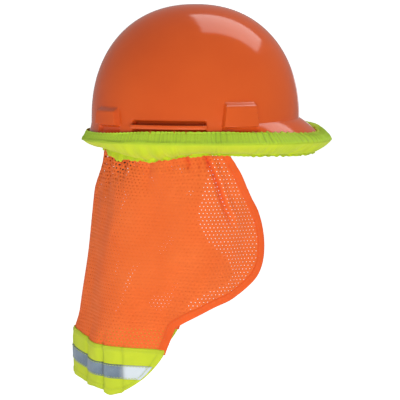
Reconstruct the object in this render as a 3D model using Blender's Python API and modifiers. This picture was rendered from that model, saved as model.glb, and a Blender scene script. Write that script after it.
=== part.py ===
"""Cap-style hard hat with a stretch-on neck shade, as separate named parts.

Metres, +Z up, +X towards the peak, +Y to the wearer's left. The origin is the middle of the dome's plan,
level with the brim's edge at the sides, inside the headband.
"""
import math

import bmesh
import bpy
from mathutils import Matrix, Vector

# Clearances
GAP = 0.0003
FIT = 0.0004
MERGE = 0.000001
NUDGE = 0.001
ROUND_SEGMENTS = 24

# Shell: a dome above the brim's root, and a flared brim below it
DOME_LENGTH = 0.245
DOME_WIDTH = 0.215
DOME_RISE = 0.134
DOME_POWER = 2.2
SHELL_WALL = 0.0026
ROOT_HEIGHT = 0.022
PEAK_REACH = 0.0315
PEAK_HALF_ANGLE = math.radians(80)
PEAK_ROOT_RISE = 0.005
ROOT_RISE_START = math.radians(70)
ROOT_RISE_END = math.radians(52)
ROOT_RISE_FADE = 0.020
BRIM_REACH = 0.009
BRIM_DROOP = 0.002
FLARE_POWER = 0.75
PEAK_FLARE_POWER = 1.0
SHELL_COLUMNS = 40
SHELL_LEAST_STEP = 0.4
SHELL_CAP_ROWS = 9
FLARE_ROWS = 4

# Lugs on the shell, at these angles from the peak on both sides
FRONT_LUG_ANGLE = math.radians(61)
FRONT_LUG_WIDTH = 0.044
FRONT_LUG_TOP = 0.0465
REAR_LUG_ANGLE = math.radians(139.5)
REAR_LUG_WIDTH = 0.040
REAR_LUG_TOP = 0.039
LUG_DEPTH = 0.007
LUG_FILLET = 0.004
LUG_BOTTOM = ROOT_HEIGHT - LUG_FILLET

# Accessory rails, with a slot through each
RAIL_START_ANGLE = math.radians(79.5)
RAIL_END_ANGLE = math.radians(121)
RAIL_DEPTH = 0.007
RAIL_TOP = 0.0212
RAIL_HEIGHT = 0.0046
SLOT_WIDTH = 0.0032
SLOT_WALL = 0.0022
RAIL_STEPS = 8

# Pockets inside the shell that take the suspension's keys
POCKET_WALL = 0.0024
POCKET_LAP = 0.0024
POCKET_BELOW_LUG_TOP = 0.004
POCKET_INSET = 0.0052

# Suspension keys
KEY_WIDTH = 0.018
KEY_THICKNESS = 0.0034
KEY_ENGAGE = 0.011
KEY_BLADE = 0.017
KEY_WEB = 0.003
KEY_TAB = 0.0022
KEY_TAB_LOW = 0.008

# Crown straps, hub and pad
STRAP_WIDTH = 0.019
STRAP_THICKNESS = 0.0012
STRAP_SET_BACK = 0.005
STRAP_STEPS = 10
CROWN_ROOM = 0.039
CROWN_HEIGHT = ROOT_HEIGHT + DOME_RISE - CROWN_ROOM
HUB_RADIUS = 0.028
HUB_THICKNESS = 0.003
CROWN_PAD_RADIUS = 0.026
CROWN_PAD_THICKNESS = 0.008
CROWN_PAD_CHAMFER = 0.002
CROWN_STEPS = 40

# Headband, with room to the dome's outline, and sweatband
HEADBAND_FRONT_ROOM = 0.0245
HEADBAND_REAR_ROOM = 0.0345
HEADBAND_SIDE_ROOM = 0.034
HEADBAND_LENGTH = DOME_LENGTH - HEADBAND_FRONT_ROOM - HEADBAND_REAR_ROOM
HEADBAND_WIDTH = DOME_WIDTH - 2 * HEADBAND_SIDE_ROOM
HEADBAND_CENTRE = (HEADBAND_REAR_ROOM - HEADBAND_FRONT_ROOM) / 2
HEADBAND_POWER = 2.3
HEADBAND_WALL = 0.0016
HEADBAND_TOP = 0.020
HEADBAND_FRONT_LOW = -0.008
HEADBAND_REAR_LOW = 0.006
HEADBAND_RISE_START = math.radians(60)
HEADBAND_RISE_END = math.radians(130)
HEADBAND_END_ANGLE = math.radians(162)
HEADBAND_STEPS = 48
SEARCH_STEPS = 40
SWEATBAND_END_ANGLE = math.radians(76)
SWEATBAND_THICKNESS = 0.0032
SWEATBAND_OVERHANG = 0.001
SWEATBAND_STEPS = 22

# Nape strap: arms that swing on the pivot pins, two racks and the ratchet
PIVOT_HEIGHT = 0.010
PIVOT_RADIUS = 0.003
PIVOT_HEAD_RADIUS = 0.005
PIVOT_HEAD = 0.0014
NAPE_TILT = math.radians(26)
NAPE_CLEARANCE = 0.002
ARM_WALL = 0.002
ARM_REAR_ANGLE = math.radians(38)
ARM_END_RADIUS = 0.008
ARM_END_BLUNT = 0.0027
ARM_REAR_HEIGHT = 0.018
ARM_STEPS = 12
RACK_WALL = 0.0012
RACK_HEIGHT = 0.018
RACK_TRAVEL = math.radians(15)
RACK_FREE_ANGLE = math.radians(64)
RACK_END_BAR = 0.006
RACK_LOWER_RAIL = 0.0024
RACK_STEPS = 26
TOOTH_MODULE = 0.001
TOOTH_COUNT = 10
TOOTH_ADDENDUM = 0.0009
TOOTH_DEDENDUM = 0.00125
TOOTH_BACKLASH = 0.0004
TOOTH_FLANK = math.radians(20)
HOUSING_ANGLE = math.radians(29)
HOUSING_WALL = 0.0024
COVER_WALL = 0.0022
COVER_HOLE_RADIUS = 0.007
HOUSING_STEPS = 13
SHAFT_RADIUS = 0.0032
KNOB_RADIUS = 0.016
KNOB_DEPTH = 0.009
KNOB_FLUTES = 10
KNOB_FLUTE_DEPTH = 0.0009
KNOB_FLUTE_POINTS = 6
CLICK_RING_DEPTH = 0.0014
NAPE_PAD_ANGLE = math.radians(27)
NAPE_PAD_THICKNESS = 0.003
NAPE_PAD_HEIGHT = 0.021

# Neck shade: casing round the brim, elastics, drape, tail panel and tape
CASING_CLOTH = 0.0013
CASING_LIFT = 0.0018
CASING_PUFF = 0.006
CASING_TOP = 0.0125
CASING_REAR_TOP = 0.0075
CASING_TOP_START = math.radians(100)
CASING_TOP_END = math.radians(150)
CASING_PEAK_COVER = 0.012
CASING_LEFT_COVER = 0.022
CASING_LEFT_START = math.radians(-15)
CASING_LEFT_END = math.radians(35)
CASING_TUCK = 0.024
CASING_PEAK_TUCK = 0.015
CASING_FRONT_DROP = 0.0135
CASING_REAR_DROP = 0.009
CASING_SAG = 0.009
CASING_SAG_ANGLE = math.radians(116)
CASING_SAG_SPREAD = math.radians(38)
CASING_BELLY_IN = 0.4
CASING_BELLY_DOWN = 0.7
CASING_STEP = 0.01
CASING_COLUMNS = 48
CASING_ROWS = 8
ELASTIC_THICKNESS = 0.0009
ELASTIC_WIDTH = 0.006
CLOTH = 0.001
DRAPE_LENGTH = 0.227
DRAPE_TUCK = 0.013
DRAPE_HANG = 0.015
DRAPE_PITCH = 0.003
DRAPE_FLARE = 0.125
DRAPE_DRIFT = 0.08
DRAPE_NARROWING = 0.0134
DRAPE_SETTLE = 0.050
DRAPE_BELOW_CASING = 0.0016
DRAPE_COLUMNS = 26
DRAPE_LOBE_ROWS = 17
DRAPE_TAIL_ROWS = 2
TAIL_COLUMNS = 22
EDGE_SAMPLES = 200
SEAM_RISE = 0.013
SEAM_RISE_ANGLE = math.radians(45)
FOLD_DEPTH = 0.0035
FOLD_COUNT = 7
LEFT_FOLD_GAIN = 1.4
LEFT_FOLD_START = math.radians(50)
LEFT_FOLD_END = math.radians(100)
BINDING_WIDTH = 0.009
BINDING_CLOTH = 0.0008
TAIL_LENGTH = 0.052
TAIL_KICK = 0.005
TAIL_KICK_LENGTH = 0.035
TAPE_BELOW_SEAM = 0.018
TAPE_WIDTH = 0.017
TAPE_THICKNESS = 0.0005

# The drape's free edges: share of its length below the casing, and angle round from the rear.
# The left one hangs further back, and its front corner swings out again lower down.
DRAPE_EDGES = {
    "right": [
        Vector((0.000, math.radians(115))),
        Vector((0.119, math.radians(125))),
        Vector((0.247, math.radians(136.5))),
        Vector((0.374, math.radians(142.3))),
        Vector((0.498, math.radians(143.3))),
        Vector((0.590, math.radians(140))),
        Vector((0.661, math.radians(132))),
        Vector((0.714, math.radians(122.5))),
        Vector((0.756, math.radians(110.5))),
        Vector((0.811, math.radians(98.5))),
        Vector((0.863, math.radians(90))),
    ],
    "left": [
        Vector((0.000, math.radians(98))),
        Vector((0.119, math.radians(95))),
        Vector((0.264, math.radians(92))),
        Vector((0.380, math.radians(91))),
        Vector((0.480, math.radians(93.5))),
        Vector((0.560, math.radians(101))),
        Vector((0.630, math.radians(111))),
        Vector((0.690, math.radians(116))),
        Vector((0.745, math.radians(112))),
        Vector((0.800, math.radians(102))),
        Vector((0.863, math.radians(90))),
    ],
}
# The tail's side edge: share of the tail's length below its seam, and angle round from the rear
TAIL_EDGE = [
    Vector((0.00, math.radians(85.5))),
    Vector((0.26, math.radians(81.3))),
    Vector((0.56, math.radians(74.9))),
    Vector((0.78, math.radians(68.2))),
    Vector((1.00, math.radians(60))),
]

SIDES = {"right": -1, "left": 1}


def new_collection(name):
    collection = bpy.data.collections.new(name)
    bpy.context.scene.collection.children.link(collection)
    return collection


def clear_scene():
    for thing in list(bpy.data.objects):
        bpy.data.objects.remove(thing)


def srgb(red, green, blue):
    """Linear colour for Blender from 0 to 255 screen values."""
    linear = []
    for value in (red, green, blue):
        share = value / 255
        linear.append(share / 12.92 if share <= 0.04045 else ((share + 0.055) / 1.055) ** 2.4)
    return (*linear, 1.0)


def new_material(name, colour, roughness, metallic=0.0):
    material = bpy.data.materials.new(name)
    material.use_nodes = True
    shader = material.node_tree.nodes["Principled BSDF"]
    shader.inputs["Base Color"].default_value = colour
    shader.inputs["Roughness"].default_value = roughness
    shader.inputs["Metallic"].default_value = metallic
    material.diffuse_color = colour
    return material


def lerp(low, high, share):
    return low + (high - low) * share


def clamp(share):
    return min(max(share, 0.0), 1.0)


def smooth(low, high, value):
    share = clamp((value - low) / (high - low))
    return share * share * (3 - 2 * share)


def wrapped(angle):
    """The same angle between minus and plus half a turn."""
    return math.remainder(angle, math.tau)


def spline(points, share):
    """Point on the smooth curve through points, with share 0 at the first and 1 at the last."""
    spans = len(points) - 1
    place = clamp(share) * spans
    index = min(int(place), spans - 1)
    step = place - index
    start, end = points[index], points[index + 1]
    before = points[index - 1] if index else 2 * start - end
    after = points[index + 2] if index + 2 <= spans else 2 * end - start
    linear = (end - before) * step
    square = (2 * before - 5 * start + 4 * end - after) * step ** 2
    cube = (3 * start - before - 3 * end + after) * step ** 3
    return 0.5 * (2 * start + linear + square + cube)


def mapped_grid(name, columns, rows, point_at):
    """Sheet of quads whose corners lie where point_at(u, v) says, u and v running from 0 to 1."""
    sheet = bmesh.new()
    bmesh.ops.create_grid(sheet, x_segments=columns, y_segments=rows, size=0.5)
    for corner in sheet.verts:
        corner.co = point_at(corner.co.x + 0.5, corner.co.y + 0.5)
    bmesh.ops.remove_doubles(sheet, verts=sheet.verts, dist=MERGE)
    mesh = bpy.data.meshes.new(name)
    sheet.to_mesh(mesh)
    sheet.free()
    mesh.shade_smooth()
    return mesh


def add_object(name, data, material, parent=None, matrix=None):
    thing = bpy.data.objects.new(name, data)
    PARTS.objects.link(thing)
    data.materials.append(material)
    thing.parent = parent
    if matrix:
        thing.matrix_local = matrix
    return thing


def add_empty(name, matrix, parent=None):
    empty = bpy.data.objects.new(name, None)
    PARTS.objects.link(empty)
    empty.parent = parent
    empty.matrix_local = matrix
    return empty


def solidify(thing, thickness, offset):
    """Thicken a sheet: offset 1 adds on its face side, -1 behind it and 0 on both."""
    modifier = thing.modifiers.new("wall", "SOLIDIFY")
    modifier.thickness = thickness
    modifier.offset = offset
    modifier.use_even_offset = True
    return thing


def add_tool(name, data, parent=None, matrix=None):
    """Hidden solid that is cut from a part or joined to it."""
    tool = bpy.data.objects.new(name, data)
    CUTTERS.objects.link(tool)
    tool.parent = parent
    if matrix:
        tool.matrix_local = matrix
    tool.hide_render = True
    tool.display_type = "WIRE"
    return tool


def combine(thing, tool, operation, solver="EXACT"):
    modifier = thing.modifiers.new(tool.name, "BOOLEAN")
    modifier.operation = operation
    modifier.solver = solver
    modifier.object = tool


def cylinder_mesh(name, radius, depth):
    """Closed cylinder about local Z, centred on its origin."""
    solid = bmesh.new()
    bmesh.ops.create_cone(solid, cap_ends=True, segments=ROUND_SEGMENTS, radius1=radius, radius2=radius,
                          depth=depth)
    mesh = bpy.data.meshes.new(name)
    solid.to_mesh(mesh)
    solid.free()
    return mesh


def turned(name, profile, material, steps, parent=None, matrix=None):
    """Turned part about local Z from (radius, height) points that run down its outer side."""
    mesh = bpy.data.meshes.new(name)
    corners = [(radius, 0.0, height) for radius, height in profile]
    mesh.from_pydata(corners, [(i, i + 1) for i in range(len(corners) - 1)], [])
    thing = add_object(name, mesh, material, parent, matrix)
    screw = thing.modifiers.new("turn", "SCREW")
    screw.steps = steps
    screw.render_steps = steps
    screw.use_merge_vertices = True
    screw.merge_threshold = MERGE
    screw.use_smooth_shade = True
    return thing


def outline_mesh(name, loops, half_depth):
    """Mesh of a flat outline in local XY, with any inner loops as holes, thickened along local Z."""
    curve = bpy.data.curves.new(name, "CURVE")
    curve.dimensions = "2D"
    curve.fill_mode = "BOTH"
    curve.extrude = half_depth
    for loop in loops:
        path = curve.splines.new("POLY")
        path.points.add(len(loop) - 1)
        for point, (x, y) in zip(path.points, loop):
            point.co = (x, y, 0.0, 1.0)
        path.use_cyclic_u = True
    guide = bpy.data.objects.new(name, curve)
    CUTTERS.objects.link(guide)
    mesh = bpy.data.meshes.new_from_object(guide.evaluated_get(bpy.context.evaluated_depsgraph_get()))
    bpy.data.objects.remove(guide)
    solid = bmesh.new()
    solid.from_mesh(mesh)
    bmesh.ops.remove_doubles(solid, verts=solid.verts, dist=MERGE)
    bmesh.ops.recalc_face_normals(solid, faces=solid.faces)
    solid.to_mesh(mesh)
    solid.free()
    return mesh


def circle(radius):
    angles = [index * math.tau / ROUND_SEGMENTS for index in range(ROUND_SEGMENTS)]
    return [(radius * math.cos(angle), radius * math.sin(angle)) for angle in angles]


# Shell surface

def plan_normal(theta):
    return Vector((math.cos(theta) / DOME_LENGTH, math.sin(theta) / DOME_WIDTH, 0.0)).normalized()


def dome_plan(theta, offset=0.0):
    """Point on the dome's outline at the brim's root, moved outwards by offset."""
    outline = Vector((DOME_LENGTH / 2 * math.cos(theta), DOME_WIDTH / 2 * math.sin(theta), 0.0))
    return outline + plan_normal(theta) * offset


def arc_rate(theta):
    """Length along the dome's outline for each radian of theta."""
    return math.hypot(DOME_LENGTH / 2 * math.sin(theta), DOME_WIDTH / 2 * math.cos(theta))


def dome_share(height):
    """Size of the dome's level section at a height, as a share of its section at the root."""
    rise = clamp((height - ROOT_HEIGHT) / DOME_RISE)
    return max(1 - rise ** DOME_POWER, 0.0) ** (1 / DOME_POWER)


def peak_share(theta):
    turn = abs(wrapped(theta)) / PEAK_HALF_ANGLE
    return math.cos(turn * math.pi / 2) ** 2 if turn < 1 else 0.0


def brim_reach(theta):
    return lerp(BRIM_REACH, PEAK_REACH, peak_share(theta))


def edge_height(theta):
    """Height of the brim's edge, which droops towards the front and the rear."""
    return -BRIM_DROOP * math.cos(theta) ** 2


def root_rise(theta):
    """How much higher the brim's root is at the peak than at the sides."""
    return PEAK_ROOT_RISE * smooth(ROOT_RISE_START, ROOT_RISE_END, abs(wrapped(theta)))


def flare_power(theta):
    return lerp(FLARE_POWER, PEAK_FLARE_POWER, peak_share(theta))


def flare_point(theta, flare, lift=0.0):
    """(offset, height) on the brim, flare 0 at its root and 1 at its edge, raised off it by lift."""
    reach = brim_reach(theta)
    root = ROOT_HEIGHT + root_rise(theta)
    fall = edge_height(theta) - root
    power = flare_power(theta)
    spot = Vector((reach * flare, root + fall * flare ** power))
    slope = Vector((reach, fall * power * flare ** (power - 1)))
    return spot + Vector((-slope.y, slope.x)).normalized() * lift


def lugs():
    """(name, side, angle, width, top) of each lug."""
    kinds = (
        ("front", FRONT_LUG_ANGLE, FRONT_LUG_WIDTH, FRONT_LUG_TOP),
        ("rear", REAR_LUG_ANGLE, REAR_LUG_WIDTH, REAR_LUG_TOP),
    )
    return [(f"{kind}_{side}", way, way * angle, width, top)
            for kind, angle, width, top in kinds for side, way in SIDES.items()]


def lug_lift(theta, height):
    lift = 0.0
    for name, way, angle, width, top in lugs():
        along = abs(wrapped(theta - angle)) * arc_rate(angle)
        side_ramp = clamp((width / 2 - along) / LUG_FILLET)
        top_ramp = clamp((top - height) / LUG_FILLET)
        bottom_ramp = clamp((height - LUG_BOTTOM) / LUG_FILLET)
        lift = max(lift, LUG_DEPTH * side_ramp * min(top_ramp, bottom_ramp))
    return lift


def shell_angles():
    """Angles round the shell: even steps, and a line on each lug's edges."""
    marks = []
    for name, way, angle, width, top in lugs():
        for edge in (width / 2, width / 2 - LUG_FILLET):
            marks += [angle - edge / arc_rate(angle), angle + edge / arc_rate(angle)]
    step = math.tau / SHELL_COLUMNS
    angles = [mark % math.tau for mark in marks]
    for index in range(SHELL_COLUMNS):
        if all(abs(wrapped(index * step - mark)) > step * SHELL_LEAST_STEP for mark in marks):
            angles.append(index * step)
    return sorted(angles)


def shell_rings():
    """(height, flare) of each ring from the brim's edge up to the crown."""
    lug_flare = ((ROOT_HEIGHT - LUG_BOTTOM) / ROOT_HEIGHT) ** (1 / FLARE_POWER)
    flares = [(0.0, lerp(1.0, lug_flare, row / FLARE_ROWS)) for row in range(FLARE_ROWS + 1)]
    heights = [ROOT_HEIGHT]
    for top in (FRONT_LUG_TOP, REAR_LUG_TOP):
        heights += [top, top - LUG_FILLET]
    low = max(heights)
    for index in range(SHELL_CAP_ROWS):
        turn = math.pi / 2 * index / SHELL_CAP_ROWS
        height = ROOT_HEIGHT + DOME_RISE * math.cos(turn) ** (2 / DOME_POWER)
        if height > low + 2 * LUG_FILLET:
            heights.append(height)
    return flares + [(height, 0.0) for height in sorted(heights)]


def shell_point(theta, height, flare):
    if flare:
        offset, height = flare_point(theta, flare)
        outline = dome_plan(theta, max(offset, lug_lift(theta, height)))
    else:
        section = dome_plan(theta) * dome_share(height)
        height += root_rise(theta) * smooth(ROOT_HEIGHT + ROOT_RISE_FADE, ROOT_HEIGHT, height)
        outline = section + plan_normal(theta) * lug_lift(theta, height)
    return Vector((outline.x, outline.y, height))


def wall_strip(name, start, end, low, high, offset, steps):
    """Upright sheet that follows the dome's outline between two angles and two heights."""
    def point_at(u, v):
        spot = dome_plan(lerp(start, end, u), offset)
        return Vector((spot.x, spot.y, lerp(low, high, v)))
    return mapped_grid(name, steps, 1, point_at)


def rail_tools(shell):
    """Join an accessory rail to each side of the shell and cut its slot."""
    low = RAIL_TOP - RAIL_HEIGHT
    wall_angle = SLOT_WALL / arc_rate(RAIL_START_ANGLE)
    for side, way in SIDES.items():
        ends = sorted((way * RAIL_START_ANGLE, way * RAIL_END_ANGLE))
        rail = add_tool(f"{side}_rail", wall_strip("rail", *ends, low, RAIL_TOP, RAIL_DEPTH, RAIL_STEPS))
        solidify(rail, RAIL_DEPTH + SHELL_WALL / 2, -1)
        combine(shell, rail, "UNION", "MANIFOLD")
        ends = (ends[0] + wall_angle, ends[1] - wall_angle)
        strip = wall_strip("slot", *ends, 0.0, 2 * RAIL_TOP, RAIL_DEPTH - SLOT_WALL, RAIL_STEPS - 1)
        slot = solidify(add_tool(f"{side}_slot", strip), SLOT_WIDTH, -1)
        combine(shell, slot, "DIFFERENCE", "MANIFOLD")


def lug_matrix(angle):
    """Frame on the dome's outline at a lug: local X outwards, Y along the wall, Z up."""
    outwards = plan_normal(angle)
    turn = math.atan2(outwards.y, outwards.x)
    return Matrix.Translation(dome_plan(angle)) @ Matrix.Rotation(turn, 4, "Z")


def box_mesh(name, low, high):
    solid = bmesh.new()
    bmesh.ops.create_cube(solid, size=1.0)
    for corner in solid.verts:
        corner.co = Vector([lerp(low[i], high[i], corner.co[i] + 0.5) for i in range(3)])
    mesh = bpy.data.meshes.new(name)
    solid.to_mesh(mesh)
    solid.free()
    return mesh


def pocket_top(lug_top):
    return lug_top - POCKET_BELOW_LUG_TOP


def pocket_tools(shell):
    """Join a key pocket to the shell's inner face behind each lug and cut its slot."""
    slot_half = KEY_WIDTH / 2 + FIT
    slot_outer = -POCKET_INSET + FIT
    slot_inner = -POCKET_INSET - KEY_THICKNESS - FIT
    for name, way, angle, width, top in lugs():
        high = pocket_top(top)
        low = high - KEY_ENGAGE
        half = slot_half + POCKET_WALL
        inner = slot_inner - POCKET_WALL
        block = box_mesh("pocket", (inner, -half, low), (LUG_DEPTH - POCKET_LAP, half, high))
        combine(shell, add_tool(f"{name}_pocket", block, matrix=lug_matrix(angle)), "UNION")
    for name, way, angle, width, top in lugs():
        high = pocket_top(top) + POCKET_WALL
        low = high - 2 * KEY_ENGAGE
        cut = box_mesh("pocket_slot", (slot_inner, -slot_half, low), (slot_outer, slot_half, high))
        combine(shell, add_tool(f"{name}_pocket_slot", cut, matrix=lug_matrix(angle)), "DIFFERENCE")


def add_shell(material):
    angles = shell_angles()
    rings = shell_rings()
    columns = len(angles)
    rows = len(rings) - 1

    def point_at(u, v):
        return shell_point(angles[round(u * columns) % columns], *rings[round(v * rows)])

    shell = add_object("shell", mapped_grid("shell", columns, rows, point_at), material)
    solidify(shell, SHELL_WALL, -1)
    pocket_tools(shell)
    rail_tools(shell)


# Suspension

def headband_plan(turn, offset=0.0):
    """Point on the headband's middle line, turn 0 at the brow, moved outwards by offset."""
    def on_line(angle):
        x = math.copysign(abs(math.cos(angle)) ** (2 / HEADBAND_POWER), math.cos(angle))
        y = math.copysign(abs(math.sin(angle)) ** (2 / HEADBAND_POWER), math.sin(angle))
        return Vector((HEADBAND_CENTRE + HEADBAND_LENGTH / 2 * x, HEADBAND_WIDTH / 2 * y, 0.0))
    along = on_line(turn + NUDGE) - on_line(turn - NUDGE)
    return on_line(turn) + Vector((along.y, -along.x, 0.0)).normalized() * offset


def headband_half_width(x, offset):
    """Half the headband's width at a place along X, to its middle line moved outwards by offset."""
    length = HEADBAND_LENGTH / 2 + offset
    share = clamp(abs(x - HEADBAND_CENTRE) / length)
    return (HEADBAND_WIDTH / 2 + offset) * (1 - share ** HEADBAND_POWER) ** (1 / HEADBAND_POWER)


def headband_low(turn):
    rear = smooth(HEADBAND_RISE_START, HEADBAND_RISE_END, abs(turn))
    return lerp(HEADBAND_FRONT_LOW, HEADBAND_REAR_LOW, rear)


def band_sheet(name, end, offset, overhang, steps):
    """Upright sheet along the headband between minus and plus end, past its edges by overhang."""
    def point_at(u, v):
        turn = lerp(-end, end, u)
        spot = headband_plan(turn, offset)
        return Vector((spot.x, spot.y, lerp(headband_low(turn) - overhang, HEADBAND_TOP + overhang, v)))
    return mapped_grid(name, steps, 1, point_at)


def nape_centre():
    """Middle of the nape strap's arc, on the pivot pins' axis."""
    return Vector((HEADBAND_CENTRE - (HEADBAND_LENGTH - HEADBAND_WIDTH) / 2, 0.0, PIVOT_HEIGHT))


def add_headband(plastic, foam):
    sheet = band_sheet("headband", HEADBAND_END_ANGLE, 0.0, 0.0, HEADBAND_STEPS)
    band = solidify(add_object("headband", sheet, plastic), HEADBAND_WALL, 0)
    bore = cylinder_mesh("pivot_bore", PIVOT_RADIUS + FIT, 2 * HEADBAND_WIDTH)
    axis = Matrix.Translation(nape_centre()) @ Matrix.Rotation(math.pi / 2, 4, "X")
    combine(band, add_tool("headband_bore", bore, matrix=axis), "DIFFERENCE")
    inset = HEADBAND_WALL / 2 + FIT + SWEATBAND_THICKNESS / 2
    sheet = band_sheet("sweatband", SWEATBAND_END_ANGLE, -inset, SWEATBAND_OVERHANG, SWEATBAND_STEPS)
    solidify(add_object("sweatband", sheet, foam), SWEATBAND_THICKNESS, 0)


def headband_distance(angle, along):
    """Distance inwards from a lug's frame, at a place along its wall, to the headband's outer face."""
    inwards = -plan_normal(angle)
    start = dome_plan(angle) + Vector((inwards.y, -inwards.x, 0.0)) * along
    low, high = 0.0, DOME_WIDTH / 2
    for step in range(SEARCH_STEPS):
        middle = (low + high) / 2
        spot = start + inwards * middle
        outside = abs(spot.y) > headband_half_width(spot.x, HEADBAND_WALL / 2)
        low, high = (middle, high) if outside else (low, middle)
    return low


def key_heights(lug_top):
    """Top of a key's blade, and the top and bottom of its web."""
    blade_top = pocket_top(lug_top) - FIT
    web_top = blade_top - KEY_BLADE
    return blade_top, web_top, web_top - KEY_WEB


def add_key(name, angle, lug_top, plastic):
    """Blade up into the pocket, web inwards and tab down the headband's outer face."""
    blade_top, web_top, web_low = key_heights(lug_top)
    blade_outer = -POCKET_INSET
    blade_inner = blade_outer - KEY_THICKNESS
    half = KEY_WIDTH / 2
    tab_inner = -min(headband_distance(angle, along) for along in (-half, 0.0, half)) + FIT
    outline = [
        (blade_outer, web_low), (blade_outer, blade_top), (blade_inner, blade_top), (blade_inner, web_top),
        (tab_inner, web_top), (tab_inner, KEY_TAB_LOW), (tab_inner + KEY_TAB, KEY_TAB_LOW),
        (tab_inner + KEY_TAB, web_low),
    ]
    upright = lug_matrix(angle) @ Matrix.Rotation(math.pi / 2, 4, "X")
    add_object(f"{name}_key", outline_mesh("key", [outline], half), plastic, matrix=upright)


def add_crown_strap(name, angle, lug_top, webbing):
    """Strap that curves from the top of a key's web up to the crown hub."""
    web_top = key_heights(lug_top)[1]
    foot = dome_plan(angle, -POCKET_INSET - KEY_THICKNESS - STRAP_SET_BACK)
    outwards = foot.normalized()
    across = Vector((-outwards.y, outwards.x, 0.0))
    low = web_top + GAP + STRAP_THICKNESS / 2
    high = CROWN_HEIGHT - HUB_THICKNESS / 2
    hub_edge = HUB_RADIUS + FIT + STRAP_THICKNESS / 2

    def point_at(u, v):
        turn = u * math.pi / 2
        out = lerp(hub_edge, foot.length, math.cos(turn))
        height = lerp(low, high, math.sin(turn))
        return outwards * out + across * (v - 0.5) * STRAP_WIDTH + Vector((0.0, 0.0, height))

    strap = add_object(f"{name}_crown_strap", mapped_grid("crown_strap", STRAP_STEPS, 1, point_at), webbing)
    solidify(strap, STRAP_THICKNESS, 0)


def add_crown(plastic, foam):
    top = CROWN_HEIGHT
    bottom = top - HUB_THICKNESS
    disc = [(0, top), (HUB_RADIUS, top), (HUB_RADIUS, bottom), (0, bottom)]
    turned("crown_hub", disc, plastic, CROWN_STEPS)
    pad_top = bottom - GAP
    pad_low = pad_top - CROWN_PAD_THICKNESS
    profile = [(0, pad_top), (CROWN_PAD_RADIUS, pad_top), (CROWN_PAD_RADIUS, pad_low + CROWN_PAD_CHAMFER),
               (CROWN_PAD_RADIUS - CROWN_PAD_CHAMFER, pad_low), (0, pad_low)]
    turned("crown_pad", profile, foam, CROWN_STEPS)


def add_suspension(plastic, webbing, foam):
    add_headband(plastic, foam)
    for name, way, angle, width, top in lugs():
        add_key(name, angle, top, plastic)
        add_crown_strap(name, angle, top, webbing)
    add_crown(plastic, foam)


# Nape strap, in a frame whose origin is the middle of its arc and whose -X points to the rear

def rack_radius(side):
    """Middle radius of a rack: the left one lies inside the right one."""
    inner = HEADBAND_WIDTH / 2 + HEADBAND_WALL / 2 + NAPE_CLEARANCE + RACK_WALL / 2
    return inner + (RACK_WALL + FIT if side == "right" else 0.0)


def arm_radius():
    return rack_radius("right") + RACK_WALL / 2 + FIT + ARM_WALL / 2


def arc_point(radius, angle, height):
    """Point on an arc about the frame's Z, with the angle from the rear towards +Y."""
    return Vector((-radius * math.cos(angle), radius * math.sin(angle), height))


def arc_sheet(name, radius, start, end, half_height_at, steps):
    """Upright sheet on an arc, whose half height depends on the share of the way along it."""
    def point_at(u, v):
        return arc_point(radius, lerp(start, end, u), (2 * v - 1) * half_height_at(u))
    return mapped_grid(name, steps, 1, point_at)


def add_arm(side, way, frame, plastic):
    """Arm from its pivot's round end back to where the rack leaves the ratchet."""
    radius = arm_radius()
    pivot = math.pi / 2
    end = pivot + ARM_END_RADIUS / radius
    start = ARM_REAR_ANGLE

    def half_height_at(u):
        along = (lerp(start, end, u) - pivot) * radius
        if along > 0:
            return max(ARM_END_RADIUS * math.sqrt(1 - clamp(along / ARM_END_RADIUS) ** 2), ARM_END_BLUNT)
        return lerp(ARM_REAR_HEIGHT / 2, ARM_END_RADIUS, smooth(start, pivot, lerp(start, end, u)))

    sheet = arc_sheet("nape_arm", radius, way * start, way * end, half_height_at, ARM_STEPS)
    arm = solidify(add_object(f"{side}_nape_arm", sheet, plastic, frame), ARM_WALL, 0)
    bore = cylinder_mesh("arm_bore", PIVOT_RADIUS + FIT, 4 * ARM_END_RADIUS)
    axis = Matrix.Translation((0.0, way * radius, 0.0)) @ Matrix.Rotation(math.pi / 2, 4, "X")
    combine(arm, add_tool(f"{side}_arm_bore", bore, frame, axis), "DIFFERENCE")


def add_pivot_pin(side, way, metal):
    """Flanged pin through the headband and the arm."""
    centre = nape_centre()
    under_heads = (centre.x - PIVOT_HEAD_RADIUS, centre.x, centre.x + PIVOT_HEAD_RADIUS)
    inner_face = min(headband_half_width(x, -HEADBAND_WALL / 2) for x in under_heads)
    outer_face = max(headband_half_width(x, HEADBAND_WALL / 2) for x in under_heads)
    arm_inner = arm_radius() - ARM_WALL / 2
    arm_outer = arm_radius() + ARM_WALL / 2
    top = arm_outer + FIT + PIVOT_HEAD
    bottom = inner_face - FIT - PIVOT_HEAD
    profile = [
        (0, top), (PIVOT_HEAD_RADIUS, top), (PIVOT_HEAD_RADIUS, arm_outer + FIT),
        (PIVOT_RADIUS, arm_outer + FIT), (PIVOT_RADIUS, arm_inner - FIT),
        (PIVOT_HEAD_RADIUS, arm_inner - FIT), (PIVOT_HEAD_RADIUS, outer_face + FIT),
        (PIVOT_RADIUS, outer_face + FIT),
        (PIVOT_RADIUS, inner_face - FIT), (PIVOT_HEAD_RADIUS, inner_face - FIT), (PIVOT_HEAD_RADIUS, bottom),
        (0, bottom),
    ]
    matrix = Matrix.Translation(centre) @ Matrix.Rotation(-way * math.pi / 2, 4, "X")
    turned(f"{side}_pivot_pin", profile, metal, ROUND_SEGMENTS, matrix=matrix)


def pitch_radius():
    return TOOTH_MODULE * TOOTH_COUNT / 2


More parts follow.
